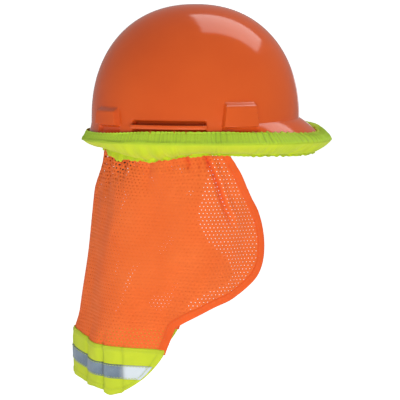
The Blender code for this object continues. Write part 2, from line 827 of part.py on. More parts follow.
def rack_window(radius):
    """Outline of a rack's window as (along, height), with teeth on its upper edge."""
    pitch = math.pi * TOOTH_MODULE
    tip = pitch_radius() - TOOTH_ADDENDUM
    root = pitch_radius() + TOOTH_DEDENDUM
    half_gap = pitch / 4 + TOOTH_BACKLASH / 2
    at_tip = half_gap + TOOTH_ADDENDUM * math.tan(TOOTH_FLANK)
    at_root = half_gap - TOOTH_DEDENDUM * math.tan(TOOTH_FLANK)
    reach = RACK_TRAVEL * radius + pitch_radius() + TOOTH_ADDENDUM
    gaps = math.ceil(reach / pitch)
    low = RACK_LOWER_RAIL - RACK_HEIGHT / 2
    outline = [(-gaps * pitch - at_tip, low), (gaps * pitch + at_tip, low)]
    for gap in range(gaps, -gaps - 1, -1):
        middle = gap * pitch
        outline += [(middle + at_tip, tip), (middle + at_root, root)]
        outline += [(middle - at_root, root), (middle - at_tip, tip)]
    return outline


def add_rack(side, way, frame, plastic):
    """Band on an arc through the ratchet, with a toothed window round the pinion."""
    radius = rack_radius(side)
    outline = rack_window(radius)
    if side == "right":
        outline = [(along, -height) for along, height in reversed(outline)]
    window_end = max(along for along, height in outline)
    far_end = -(window_end + RACK_END_BAR) / radius
    ends = (way * far_end, way * RACK_FREE_ANGLE)
    sheet = arc_sheet("rack", radius, *ends, lambda u: RACK_HEIGHT / 2, RACK_STEPS)
    rack = solidify(add_object(f"{side}_rack", sheet, plastic, frame), RACK_WALL, 0)
    cut = outline_mesh("rack_window", [outline], radius / 4)
    for corner in cut.vertices:
        corner.co = arc_point(radius - corner.co.z, corner.co.x / radius, corner.co.y)
    combine(rack, add_tool(f"{side}_rack_window", cut, frame), "DIFFERENCE")


def add_ratchet_case(frame, plastic, foam):
    """Housing with a channel for both racks, its cover, and the pad inside it."""
    channel_inner = rack_radius("left") - RACK_WALL / 2 - FIT
    cover_inner = rack_radius("right") + RACK_WALL / 2 + FIT
    outer = cover_inner + COVER_WALL
    inner = channel_inner - HOUSING_WALL
    channel_half = RACK_HEIGHT / 2 + FIT
    case_half = channel_half + HOUSING_WALL

    ends = (-HOUSING_ANGLE, HOUSING_ANGLE)
    sheet = arc_sheet("housing", outer, *ends, lambda u: case_half, HOUSING_STEPS)
    housing = solidify(add_object("ratchet_housing", sheet, plastic, frame), outer - inner, 1)
    wide = HOUSING_ANGLE * (HOUSING_STEPS + 2) / HOUSING_STEPS
    cut_outer = 2 * outer - channel_inner
    cut = arc_sheet("channel", cut_outer, -wide, wide, lambda u: channel_half, HOUSING_STEPS + 2)
    channel = solidify(add_tool("channel", cut, frame), 2 * (outer - channel_inner), 1)
    combine(housing, channel, "DIFFERENCE")

    plate = arc_sheet("cover", outer, *ends, lambda u: channel_half - GAP, HOUSING_STEPS)
    cover = solidify(add_object("ratchet_cover", plate, plastic, frame), COVER_WALL, 1)
    bore = cylinder_mesh("cover_bore", COVER_HOLE_RADIUS, 2 * KNOB_DEPTH)
    combine(cover, add_tool("cover_bore", bore, frame, knob_matrix(cover_inner)), "DIFFERENCE")

    ends = (-NAPE_PAD_ANGLE, NAPE_PAD_ANGLE)
    pad = arc_sheet("pad", inner - FIT, *ends, lambda u: NAPE_PAD_HEIGHT / 2, HOUSING_STEPS)
    solidify(add_object("nape_pad", pad, foam, frame), NAPE_PAD_THICKNESS, 1)
    return cover_inner, outer


def knob_matrix(distance):
    """Frame on the knob's axis: local Z points out to the rear, local Y up."""
    turn = Matrix(((0, 0, -1), (-1, 0, 0), (0, 1, 0))).to_4x4()
    return Matrix.Translation((-distance, 0.0, 0.0)) @ turn


def pinion_outline():
    """Toothed outline with a tooth at the top and at the bottom."""
    pitch = pitch_radius()
    half_at_pitch = math.pi * TOOTH_MODULE / 4 - TOOTH_BACKLASH / 2
    slope = math.tan(TOOTH_FLANK)
    stations = (
        (pitch - TOOTH_DEDENDUM, half_at_pitch + TOOTH_DEDENDUM * slope / 2),
        (pitch, half_at_pitch),
        (pitch + TOOTH_ADDENDUM, half_at_pitch - TOOTH_ADDENDUM * slope),
    )
    outline = []
    for tooth in range(TOOTH_COUNT):
        middle = math.pi / 2 + tooth * math.tau / TOOTH_COUNT
        tooth_side = [(-half, radius) for radius, half in stations]
        other_side = [(half, radius) for radius, half in reversed(stations)]
        for half, radius in tooth_side + other_side:
            angle = middle + half / radius
            outline.append((radius * math.cos(angle), radius * math.sin(angle)))
    return outline


def add_knob(frame, cover_inner, cover_outer, plastic, metal):
    """Knob, pinion with its shaft, and click ring, all about the knob's axis."""
    axis = add_empty("knob_axis", knob_matrix(cover_outer), frame)
    knob_low = FIT
    shaft_top = knob_low + KNOB_DEPTH - 2 * FIT
    gear_low = rack_radius("left") - RACK_WALL / 2 + GAP - cover_outer
    gear_top = rack_radius("right") + RACK_WALL / 2 - GAP - cover_outer

    gear = outline_mesh("pinion", [pinion_outline()], (gear_top - gear_low) / 2)
    gear.transform(Matrix.Translation((0.0, 0.0, (gear_low + gear_top) / 2)))
    pinion = add_object("pinion", gear, metal, axis)
    shaft_low = (gear_low + gear_top) / 2
    shaft = cylinder_mesh("shaft", SHAFT_RADIUS, shaft_top - shaft_low)
    middle = Matrix.Translation((0.0, 0.0, (shaft_top + shaft_low) / 2))
    combine(pinion, add_tool("pinion_shaft", shaft, axis, middle), "UNION")

    grip = []
    count = KNOB_FLUTES * KNOB_FLUTE_POINTS
    for index in range(count):
        angle = index * math.tau / count
        radius = KNOB_RADIUS - KNOB_FLUTE_DEPTH * (1 + math.cos(KNOB_FLUTES * angle))
        grip.append((radius * math.cos(angle), radius * math.sin(angle)))
    bore = circle(SHAFT_RADIUS + FIT)
    knob = outline_mesh("knob", [grip, bore], KNOB_DEPTH / 2)
    knob.transform(Matrix.Translation((0.0, 0.0, knob_low + KNOB_DEPTH / 2)))
    add_object("ratchet_knob", knob, plastic, axis)

    ring = outline_mesh("ring", [circle(COVER_HOLE_RADIUS - FIT), bore], CLICK_RING_DEPTH / 2)
    ring.transform(Matrix.Translation((0.0, 0.0, (cover_inner - cover_outer) / 2)))
    add_object("click_ring", ring, metal, axis)


def add_nape_strap(plastic, metal, foam):
    frame = add_empty("nape_frame", Matrix.Translation(nape_centre()) @ Matrix.Rotation(-NAPE_TILT, 4, "Y"))
    for side, way in SIDES.items():
        add_arm(side, way, frame, plastic)
        add_pivot_pin(side, way, metal)
        add_rack(side, way, frame, plastic)
    cover_inner, cover_outer = add_ratchet_case(frame, plastic, foam)
    add_knob(frame, cover_inner, cover_outer, plastic, metal)


# Neck shade

def brim_slope(theta):
    """Length down the brim from its root to its edge."""
    return math.hypot(brim_reach(theta), ROOT_HEIGHT + root_rise(theta) - edge_height(theta))


def casing_start(theta):
    """Flare at the casing's top hem."""
    root = ROOT_HEIGHT + root_rise(theta)
    rear = smooth(CASING_TOP_START, CASING_TOP_END, abs(wrapped(theta)))
    top = lerp(CASING_TOP, CASING_REAR_TOP, rear)
    side_start = ((root - top) / (root - edge_height(theta))) ** (1 / flare_power(theta))
    left = smooth(CASING_LEFT_START, CASING_LEFT_END, wrapped(theta))
    cover = lerp(CASING_PEAK_COVER, CASING_LEFT_COVER, left)
    return lerp(side_start, 1 - cover / brim_slope(theta), peak_share(theta))


def casing_section(theta):
    """(offset, height) points of the casing's inner face, from its top hem to its lower hem."""
    peak = peak_share(theta)
    reach = brim_reach(theta)
    edge = edge_height(theta)
    start = casing_start(theta)
    tuck = lerp(CASING_TUCK, CASING_PEAK_TUCK, peak)
    sag = smooth(CASING_SAG_SPREAD, 0.0, abs(abs(wrapped(theta)) - CASING_SAG_ANGLE))
    drop = lerp(CASING_REAR_DROP, CASING_FRONT_DROP, (1 + math.cos(theta)) / 2) + CASING_SAG * sag
    puff = lerp(CASING_LIFT, CASING_PUFF, peak)
    points = []
    for share in (0, 1 / 3, 2 / 3):
        lift = lerp(CASING_LIFT, puff, smooth(0.0, 2 / 3, share))
        points.append(flare_point(theta, lerp(start, 1.0, share), lift))
    points.append(Vector((reach + puff, edge)))
    points.append(Vector((reach - CASING_BELLY_IN * tuck, edge - CASING_BELLY_DOWN * drop)))
    points.append(Vector((reach - tuck, edge - drop)))
    return points


def casing_point(theta, share, inset=0.0):
    """Point on the casing's inner face, share 0 at the top hem and 1 at the lower one, moved in by inset."""
    section = casing_section(theta)
    spot = spline(section, share)
    if inset:
        along = spline(section, share + MERGE) - spline(section, share - CASING_STEP)
        spot += Vector((along.y, -along.x)).normalized() * inset
    outline = dome_plan(theta, spot.x)
    return Vector((outline.x, outline.y, spot.y))


def ring_sheet(name, point_on, rows):
    """Sheet all round the brim from point_on(theta, share), facing outwards."""
    return mapped_grid(name, CASING_COLUMNS, rows, lambda u, v: point_on((u % 1.0) * math.tau, 1.0 - v))


def add_casing(cloth, elastic):
    casing = add_object("brim_band", ring_sheet("brim_band", casing_point, CASING_ROWS), cloth)
    solidify(casing, CASING_CLOTH, 1)

    def upper(theta, share):
        flare = casing_start(theta) + share * ELASTIC_WIDTH / brim_slope(theta)
        offset, height = flare_point(theta, flare, FIT)
        outline = dome_plan(theta, offset)
        return Vector((outline.x, outline.y, height))

    top = add_object("upper_elastic", ring_sheet("upper_elastic", upper, 1), elastic)
    solidify(top, ELASTIC_THICKNESS, 1)

    def lower(theta, share):
        tuck = lerp(CASING_TUCK, CASING_PEAK_TUCK, peak_share(theta))
        return casing_point(theta, 1 - (1 - share) * ELASTIC_WIDTH / tuck / 2, FIT)

    bottom = add_object("lower_elastic", ring_sheet("lower_elastic", lower, 1), elastic)
    solidify(bottom, ELASTIC_THICKNESS, -1)


def cloth_middle(turn, drop):
    """Point on the drape's middle surface: turn from the rear towards the right, drop below the casing."""
    hem = casing_point(math.pi + turn, 1.0)
    fall = drop + DRAPE_BELOW_CASING
    kick = TAIL_KICK * smooth(DRAPE_LENGTH - TAIL_KICK_LENGTH, DRAPE_LENGTH, drop)
    spread = min(drop, DRAPE_LENGTH)
    length = DOME_LENGTH / 2 - DRAPE_TUCK + (DRAPE_FLARE - DRAPE_DRIFT) * spread + kick
    width = DOME_WIDTH / 2 - DRAPE_TUCK - DRAPE_NARROWING * (drop / DRAPE_LENGTH) ** 2
    across = Vector((-DRAPE_DRIFT * spread - length * math.cos(turn), -width * math.sin(turn)))
    settle = smooth(0.0, DRAPE_SETTLE, drop)
    plan = Vector((hem.x, hem.y)).lerp(across, settle)
    gain = lerp(1.0, 1.0 + LEFT_FOLD_GAIN, smooth(LEFT_FOLD_START, LEFT_FOLD_END, -turn))
    fold = FOLD_DEPTH * gain * settle * math.cos(FOLD_COUNT * turn)
    plan += Vector((-math.cos(turn), -math.sin(turn))) * fold
    level = DRAPE_PITCH * math.cos(turn) - DRAPE_HANG
    return Vector((plan.x, plan.y, lerp(hem.z, level, settle) - fall))


def cloth_point(turn, drop, lift=0.0):
    """Point on the drape, raised off its middle surface by lift on the outside."""
    spot = cloth_middle(turn, drop)
    if not lift:
        return spot
    along = cloth_middle(turn + NUDGE, drop) - cloth_middle(turn - NUDGE, drop)
    down = cloth_middle(turn, drop + NUDGE) - cloth_middle(turn, max(drop - NUDGE, 0.0))
    return spot + along.cross(down).normalized() * -lift


def seam_drop(turn):
    """Distance below the casing of the seam between drape and tail, which rises at the rear."""
    return DRAPE_LENGTH - SEAM_RISE * (1 - smooth(0.0, SEAM_RISE_ANGLE, abs(turn)))


def edge_trail(side):
    """Close points down one free edge, as distance below the casing and turn from the rear."""
    trail = [spline(DRAPE_EDGES[side], index / EDGE_SAMPLES) for index in range(EDGE_SAMPLES + 1)]
    return [Vector((point.x * DRAPE_LENGTH, point.y)) for point in trail]


def edge_step(before, after):
    return math.hypot(after.x - before.x, (after.y - before.y) * DOME_LENGTH / 2)


def edge_at(trail, drop):
    """(edge turn, turn across the binding) where a free edge is at this drop."""
    index = min(range(len(trail)), key=lambda place: abs(trail[place].x - drop))
    before, after = trail[max(index - 1, 0)], trail[min(index + 1, EDGE_SAMPLES)]
    slant = edge_step(before, after) / (after.x - before.x)
    return trail[index].y, BINDING_WIDTH * slant / (DOME_LENGTH / 2)


def drape_rows():
    """(drop, edge on each side) of each row, at even steps down the right edge and then to the tail."""
    trails = {side: edge_trail(side) for side in SIDES}
    trail = trails["right"]
    lengths = [0.0]
    for before, after in zip(trail, trail[1:]):
        lengths.append(lengths[-1] + edge_step(before, after))
    rows = []
    for row in range(DRAPE_LOBE_ROWS + 1):
        goal = lengths[-1] * row / DRAPE_LOBE_ROWS
        index = min(range(len(lengths)), key=lambda place: abs(lengths[place] - goal))
        drop = trail[index].x
        rows.append((drop, {side: edge_at(trails[side], drop) for side in SIDES}))
    last, edges = rows[-1]
    for row in range(1, DRAPE_TAIL_ROWS + 1):
        share = row / DRAPE_TAIL_ROWS
        ends = {side: (lerp(turn, TAIL_EDGE[0].y, share), binding) for side, (turn, binding) in edges.items()}
        rows.append((lerp(last, DRAPE_LENGTH, share), ends))
    return rows


def drape_turn(column, edges):
    """Turn of a column in a row: the outermost column on each side is as wide as the binding."""
    half = DRAPE_COLUMNS / 2
    place = (column - half) / (half - 1)
    limit, binding = edges["left" if place < 0 else "right"]
    if abs(place) > 1:
        return math.copysign(limit, place)
    return place * (limit - binding)


def add_drape(mesh_cloth, binding_cloth):
    rows = drape_rows()

    def spot(column, row, lift=0.0):
        drop, edges = rows[row]
        turn = drape_turn(column, edges)
        return cloth_point(turn, drop * seam_drop(turn) / DRAPE_LENGTH, lift)

    last = len(rows) - 1
    sheet = mapped_grid("drape", DRAPE_COLUMNS, last,
                        lambda u, v: spot(round(u * DRAPE_COLUMNS), round(v * last)))
    solidify(add_object("drape", sheet, mesh_cloth), CLOTH, 0)
    lift = CLOTH / 2 + FIT + BINDING_CLOTH / 2
    for side in SIDES:
        inner = DRAPE_COLUMNS - 1 if side == "right" else 0
        strip = mapped_grid(f"{side}_edge_binding", 1, DRAPE_LOBE_ROWS,
                            lambda u, v: spot(inner + round(u), round(v * DRAPE_LOBE_ROWS), lift))
        solidify(add_object(f"{side}_edge_binding", strip, binding_cloth), BINDING_CLOTH, 0)


def add_tail(panel_cloth, tape_cloth):
    tape_low = TAPE_BELOW_SEAM + TAPE_WIDTH
    rows = [0.0, TAPE_BELOW_SEAM, tape_low, (tape_low + TAIL_LENGTH) / 2, TAIL_LENGTH]

    def edge_turn(below):
        shares = [index / EDGE_SAMPLES for index in range(EDGE_SAMPLES + 1)]
        near = min(shares, key=lambda share: abs(spline(TAIL_EDGE, share).x - below / TAIL_LENGTH))
        return spline(TAIL_EDGE, near).y

    def spot(u, below, lift=0.0):
        turn = (2 * u - 1) * edge_turn(below)
        return cloth_point(turn, seam_drop(turn) + CLOTH / 2 + GAP + below, lift)

    last = len(rows) - 1
    panel = mapped_grid("tail_panel", TAIL_COLUMNS, last, lambda u, v: spot(u, rows[round(v * last)]))
    solidify(add_object("tail_panel", panel, panel_cloth), CLOTH, 0)
    lift = CLOTH / 2 + FIT + TAPE_THICKNESS / 2
    tape = mapped_grid("reflective_tape", TAIL_COLUMNS, 1, lambda u, v: spot(u, rows[1 + round(v)], lift))
    solidify(add_object("reflective_tape", tape, tape_cloth), TAPE_THICKNESS, 0)


def main():
    orange = new_material("moulded_orange", srgb(228, 100, 46), 0.28)
    lime = new_material("lime_fabric", srgb(190, 212, 62), 0.85)
    mesh_orange = new_material("orange_mesh", srgb(238, 113, 62), 0.85)
    hem_orange = new_material("orange_hem", srgb(235, 98, 46), 0.85)
    silver = new_material("reflective_silver", srgb(190, 200, 205), 0.4)
    black = new_material("black_plastic", srgb(34, 34, 36), 0.45)
    webbing = new_material("black_webbing", srgb(42, 42, 45), 0.85)
    foam = new_material("grey_foam", srgb(70, 72, 76), 0.9)
    elastic = new_material("lime_elastic", srgb(160, 186, 60), 0.8)
    steel = new_material("steel", srgb(170, 172, 176), 0.35, 1.0)

    add_shell(orange)
    add_suspension(black, webbing, foam)
    add_nape_strap(black, steel, foam)
    add_casing(lime, elastic)
    add_drape(mesh_orange, hem_orange)
    add_tail(lime, silver)


clear_scene()
PARTS = new_collection("hard_hat")
CUTTERS = new_collection("cutters")
main()
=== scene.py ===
"""Looks of the hard hat with its neck shade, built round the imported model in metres, +X towards the peak."""
import math
from itertools import product

import bpy
import numpy as np
from mathutils import Matrix, Quaternion, Vector


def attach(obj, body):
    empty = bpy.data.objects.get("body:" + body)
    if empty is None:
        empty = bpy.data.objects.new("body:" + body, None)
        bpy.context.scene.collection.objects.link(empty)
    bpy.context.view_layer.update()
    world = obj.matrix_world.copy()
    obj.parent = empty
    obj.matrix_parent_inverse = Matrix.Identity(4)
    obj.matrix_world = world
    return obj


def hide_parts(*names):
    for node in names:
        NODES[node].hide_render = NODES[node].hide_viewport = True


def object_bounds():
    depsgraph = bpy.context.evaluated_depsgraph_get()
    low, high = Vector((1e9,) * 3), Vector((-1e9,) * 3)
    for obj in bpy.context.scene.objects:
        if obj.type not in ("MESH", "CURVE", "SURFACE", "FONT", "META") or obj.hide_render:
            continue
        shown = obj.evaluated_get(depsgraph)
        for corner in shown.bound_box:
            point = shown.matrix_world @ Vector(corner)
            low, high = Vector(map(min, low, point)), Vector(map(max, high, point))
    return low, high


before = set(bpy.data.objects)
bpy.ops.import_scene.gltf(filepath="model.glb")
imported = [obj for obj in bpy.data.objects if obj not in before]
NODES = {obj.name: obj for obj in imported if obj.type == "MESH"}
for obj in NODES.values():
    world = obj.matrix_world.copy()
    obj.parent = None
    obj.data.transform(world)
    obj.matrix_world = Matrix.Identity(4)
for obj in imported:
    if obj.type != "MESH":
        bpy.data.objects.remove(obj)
CAD_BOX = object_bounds()

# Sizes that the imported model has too; those of the dressing alone stand beside their functions
DOME_LENGTH, DOME_WIDTH, DOME_RISE, DOME_POWER = 0.245, 0.215, 0.134, 2.2
SHELL_WALL, ROOT_HEIGHT = 0.0026, 0.022
PEAK_REACH, PEAK_HALF_ANGLE = 0.0315, math.radians(80)
PEAK_ROOT_RISE, ROOT_RISE_FADE = 0.005, 0.020
ROOT_RISE_START, ROOT_RISE_END = math.radians(70), math.radians(52)
BRIM_REACH, BRIM_DROOP = 0.009, 0.002
FLARE_POWER, PEAK_FLARE_POWER = 0.75, 1.0
LUGS = ((math.radians(61), 0.044, 0.0465), (math.radians(139.5), 0.040, 0.039))
LUG_BOTTOM, LUG_DEPTH = 0.018, 0.007
RAIL_START, RAIL_END = math.radians(79.5), math.radians(121)
RAIL_DEPTH, RAIL_TOP, RAIL_HEIGHT = 0.007, 0.0212, 0.0046
SLOT_WIDTH, SLOT_WALL = 0.0032, 0.0022
POCKET_WALL, POCKET_BELOW_TOP, POCKET_INSET = 0.0024, 0.004, 0.0052
KEY_WIDTH, KEY_THICKNESS, KEY_ENGAGE, KEY_BLADE, KEY_FIT = 0.018, 0.0034, 0.011, 0.017, 0.0004
STRAP_WIDTH, STRAP_THICKNESS, STRAP_SET_BACK = 0.019, 0.0012, 0.005
CROWN_HEIGHT, HUB_RADIUS, HUB_THICKNESS = 0.117, 0.028, 0.003
CROWN_PAD_RADIUS, CROWN_PAD_THICKNESS = 0.026, 0.008
HEADBAND_LENGTH, HEADBAND_WIDTH, HEADBAND_CENTRE, HEADBAND_POWER = 0.186, 0.147, 0.005, 2.3
HEADBAND_WALL, HEADBAND_TOP = 0.0016, 0.020
HEADBAND_FRONT_LOW, HEADBAND_REAR_LOW = -0.008, 0.006
HEADBAND_RISE_START, HEADBAND_RISE_END = math.radians(60), math.radians(130)
SWEATBAND_END, SWEATBAND_THICKNESS = math.radians(76), 0.0032
NAPE_TILT, NAPE_CENTRE = math.radians(26), (-0.0145, 0.0, 0.010)
NAPE_PAD_RADIUS, NAPE_PAD_ANGLE = 0.0731, math.radians(27)
NAPE_PAD_THICKNESS, NAPE_PAD_HEIGHT = 0.003, 0.021
CASING_LIFT, CASING_PUFF, CASING_TOP, CASING_REAR_TOP = 0.0018, 0.006, 0.0125, 0.0075
CASING_TOP_START, CASING_TOP_END = math.radians(100), math.radians(150)
CASING_PEAK_COVER, CASING_LEFT_COVER = 0.012, 0.022
CASING_LEFT_START, CASING_LEFT_END = math.radians(-15), math.radians(35)
CASING_TUCK, CASING_PEAK_TUCK = 0.024, 0.015
CASING_FRONT_DROP, CASING_REAR_DROP, CASING_SAG = 0.0135, 0.009, 0.009
CASING_SAG_ANGLE, CASING_SAG_SPREAD = math.radians(116), math.radians(38)
CASING_BELLY_IN, CASING_BELLY_DOWN = 0.4, 0.7
DRAPE_LENGTH, DRAPE_FLARE, DRAPE_DRIFT = 0.227, 0.125, 0.08
DRAPE_TUCK, DRAPE_HANG, DRAPE_PITCH = 0.013, 0.015, 0.003
DRAPE_NARROWING, DRAPE_SETTLE, DRAPE_BELOW_CASING = 0.0134, 0.050, 0.0016
SEAM_RISE_ANGLE = math.radians(45)
FOLD_DEPTH, FOLD_COUNT = 0.0035, 7
LEFT_FOLD_GAIN, LEFT_FOLD_START, LEFT_FOLD_END = 1.4, math.radians(50), math.radians(100)
BINDING_WIDTH = 0.009
TAIL_LENGTH, TAIL_KICK, TAIL_KICK_LENGTH = 0.052, 0.005, 0.035
TAPE_BELOW_SEAM, TAPE_WIDTH = 0.018, 0.017
RIGHT_EDGE = ((0.000, 115), (0.119, 125), (0.247, 136.5), (0.374, 142.3), (0.498, 143.3), (0.590, 140),
              (0.661, 132), (0.714, 122.5), (0.756, 110.5), (0.811, 98.5), (0.863, 90))
LEFT_EDGE = ((0.000, 98), (0.119, 95), (0.264, 92), (0.380, 91), (0.480, 93.5), (0.560, 101), (0.630, 111),
             (0.690, 116), (0.745, 112), (0.800, 102), (0.863, 90))
TAIL_EDGE = ((0.00, 85.5), (0.26, 81.3), (0.56, 74.9), (0.78, 68.2), (1.00, 60))
RIPPLE_WAVES = 7


def lerp(low, high, share):
    return low + (high - low) * share


def smooth(low, high, value):
    share = np.clip((value - low) / (high - low), 0.0, 1.0)
    return share * share * (3 - 2 * share)


def bell(value, middle, spread):
    return np.exp(-((value - middle) / spread) ** 2)


def signed_power(value, power):
    return np.sign(value) * np.abs(value) ** power


def wrapped(angle):
    return (angle + math.pi) % math.tau - math.pi


def unit(vectors):
    return vectors / np.maximum(np.linalg.norm(vectors, axis=-1, keepdims=True), 1e-12)


def raised(plan, height):
    """Points of a plan at a height."""
    return np.concatenate([plan, np.broadcast_to(height, plan.shape[:-1])[..., None]], -1)


def run_along(points):
    """Length along a line of points, up to each of them."""
    return np.concatenate([[0], np.cumsum(np.linalg.norm(np.diff(points, axis=0), axis=-1))])


def at_run(points, run, places):
    """Points at these lengths along a line."""
    return np.stack([np.interp(places, run, axis) for axis in points.T], -1)


def ripple(angle, seed, low, high):
    """Uneven waves between about -1 and 1, from whole numbers of waves a turn."""
    rng = np.random.default_rng(seed)
    waves = rng.integers(low, high, RIPPLE_WAVES)
    phases = rng.uniform(0, math.tau, RIPPLE_WAVES)
    return sum(np.sin(wave * angle + phase) for wave, phase in zip(waves, phases)) / math.sqrt(RIPPLE_WAVES)


def spline(points, share):
    """Smooth curve through points (count, ..., axes), with share 0 at the first and 1 at the last."""
    spans = len(points) - 1
    place = np.clip(share, 0.0, 1.0) * spans
    index = np.minimum(place.astype(int), spans - 1)
    step = (place - index)[..., None]
    padded = np.concatenate([2 * points[:1] - points[1:2], points, 2 * points[-1:] - points[-2:-1]])
    column = () if points.ndim == 2 else (np.arange(points.shape[1])[:, None],)
    before, start, end, after = (padded[(index + k, *column)] for k in range(4))
    linear = (end - before) * step
    square = (2 * before - 5 * start + 4 * end - after) * step ** 2
    cube = (3 * start - before - 3 * end + after) * step ** 3
    return 0.5 * (2 * start + linear + square + cube)


def flat_section(count, width_power, height_power):
    """Places from -1 to 1 across and over a flat section, going round it."""
    angle = math.tau * np.arange(count) / count
    return signed_power(np.cos(angle), width_power), signed_power(np.sin(angle), height_power)


# Meshes

def new_object(name, data):
    thing = bpy.data.objects.new(name, data)
    bpy.context.scene.collection.objects.link(thing)
    return thing


def make_object(name, mesh, look, body, *replaced, slot):
    thing = new_object(name, mesh)
    mesh.name = name
    mesh.materials.append(LOOKS[look])
    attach(thing, body)
    if replaced:
        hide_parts(*replaced)
    return thing


def modify(thing, kind, **settings):
    modifier = thing.modifiers.new(kind.lower(), kind)
    for key, value in settings.items():
        setattr(modifier, key, value)


def make_mesh(verts, faces, flat=None, bake=None, values=None):
    """Smooth mesh. flat and bake hold a UV for each corner of each face, values a number for each vertex."""
    mesh = bpy.data.meshes.new("mesh")
    mesh.from_pydata(np.asarray(verts).tolist(), [], [list(map(int, face)) for face in faces])
    for layer_name, places in (("flat", flat), ("OFBake", bake)):
        if places is not None:
            layer = mesh.uv_layers.new(name=layer_name)
            layer.data.foreach_set("uv", np.asarray(places, dtype=np.float32).ravel())
    for value_name, numbers in (values or {}).items():
        attribute = mesh.attributes.new(value_name, "FLOAT", "POINT")
        attribute.data.foreach_set("value", np.asarray(numbers, dtype=np.float32).ravel())
    mesh.shade_smooth()
    return mesh


def grid_quads(columns, rows, closed, start=0):
    """Corner numbers of the quads of a grid whose vertices run down its columns."""
    number = start + np.arange(columns * rows).reshape(columns, rows)
    after = np.roll(number, -1, 0)
    if not closed:
        number, after = number[:-1], after[:-1]
    return np.stack([number[:, :-1], number[:, 1:], after[:, 1:], after[:, :-1]], -1).reshape(-1, 4)


def grid_normals(points):
    """Normals of a grid whose columns go all the way round."""
    along = np.roll(points, -1, 0) - np.roll(points, 1, 0)
    return unit(np.cross(np.gradient(points, axis=1), along))


def sheet_mesh(front, back, flat_size, closed=False, values=None):
    """Closed thin solid between two grids of points, with flat metres and a bake map as UVs."""
    columns, rows = front.shape[:2]
    count = columns * rows
    quads = grid_quads(columns, rows, closed)
    number = np.arange(count).reshape(columns, rows)
    if closed:
        number = np.concatenate([number, number[:1]])
    lines = [(number[:, 0], 1), (number[:, -1], -1)]
    if not closed:
        lines += [(number[0], -1), (number[-1], 1)]
    rims = [np.stack([a[:-1], a[1:], a[1:] + count, a[:-1] + count], -1)[:, ::way] for a, way in lines]
    faces = np.concatenate([quads, quads[:, ::-1] + count] + rims)
    corner_u = faces % count // rows / columns
    corner_v = faces % count % rows / (rows - 1)
    if closed:
        split = np.ptp(corner_u, 1)[:, None] > 0.5
        corner_u = np.where(split & (corner_u < 0.5), corner_u + 1.0, corner_u)
    flat = np.stack([corner_u * flat_size[0], (1 - corner_v) * flat_size[1]], -1)
    part = np.minimum(np.arange(len(faces)) // len(quads), 2)[:, None]
    strips = [0.01 + 0.44 * corner_v, 0.5 + 0.44 * corner_v, 0.97 + 0.02 * (faces >= count)]
    bake = np.stack([corner_u * 0.99, np.choose(part, strips)], -1)
    values = {key: np.tile(np.broadcast_to(number, front.shape[:2]).ravel(), 2)
              for key, number in (values or {}).items()}
    verts = np.concatenate([front.reshape(-1, 3), back.reshape(-1, 3)])
    return make_mesh(verts, faces, flat, bake, values)


def loop_faces(stations, around):
    """Corner numbers of a tube of rings, with its two ends closed."""
    number = np.arange(stations * around).reshape(stations, around)
    after = np.roll(number, -1, 1)
    sides = np.stack([number[:-1], after[:-1], after[1:], number[1:]], -1).reshape(-1, 4)
    return sides.tolist() + [number[0, ::-1].tolist(), number[-1].tolist()]


def loop_mesh(rings, flat_size):
    """Closed solid from a list of lines of points that lie round it."""
    rings = np.stack(rings, 1)
    stations, around = rings.shape[:2]
    i, j = np.meshgrid(np.arange(stations - 1), np.arange(around), indexing="ij")
    corners = [np.stack(corner, -1) for corner in ((i, j), (i, j + 1), (i + 1, j + 1), (i + 1, j))]
    flat = np.stack(corners, 2) / (stations - 1, around) * flat_size
    flat = np.concatenate([flat.reshape(-1, 2), np.zeros((2 * around, 2))])
    return make_mesh(rings.reshape(-1, 3), loop_faces(stations, around), flat)


def box_mesh(low, high):
    faces = ((0, 1, 3, 2), (4, 6, 7, 5), (0, 4, 5, 1), (2, 3, 7, 6), (0, 2, 6, 4), (1, 5, 7, 3))
    mesh = bpy.data.meshes.new("box")
    mesh.from_pydata(list(product(*zip(low, high))), [], faces)
    return mesh


# Materials

LOOKS = {}


def srgb(*levels):
    share = np.array(levels) / 255
    linear = np.where(share <= 0.04045, share / 12.92, ((share + 0.055) / 1.055) ** 2.4)
    return (*linear.tolist(), 1.0)


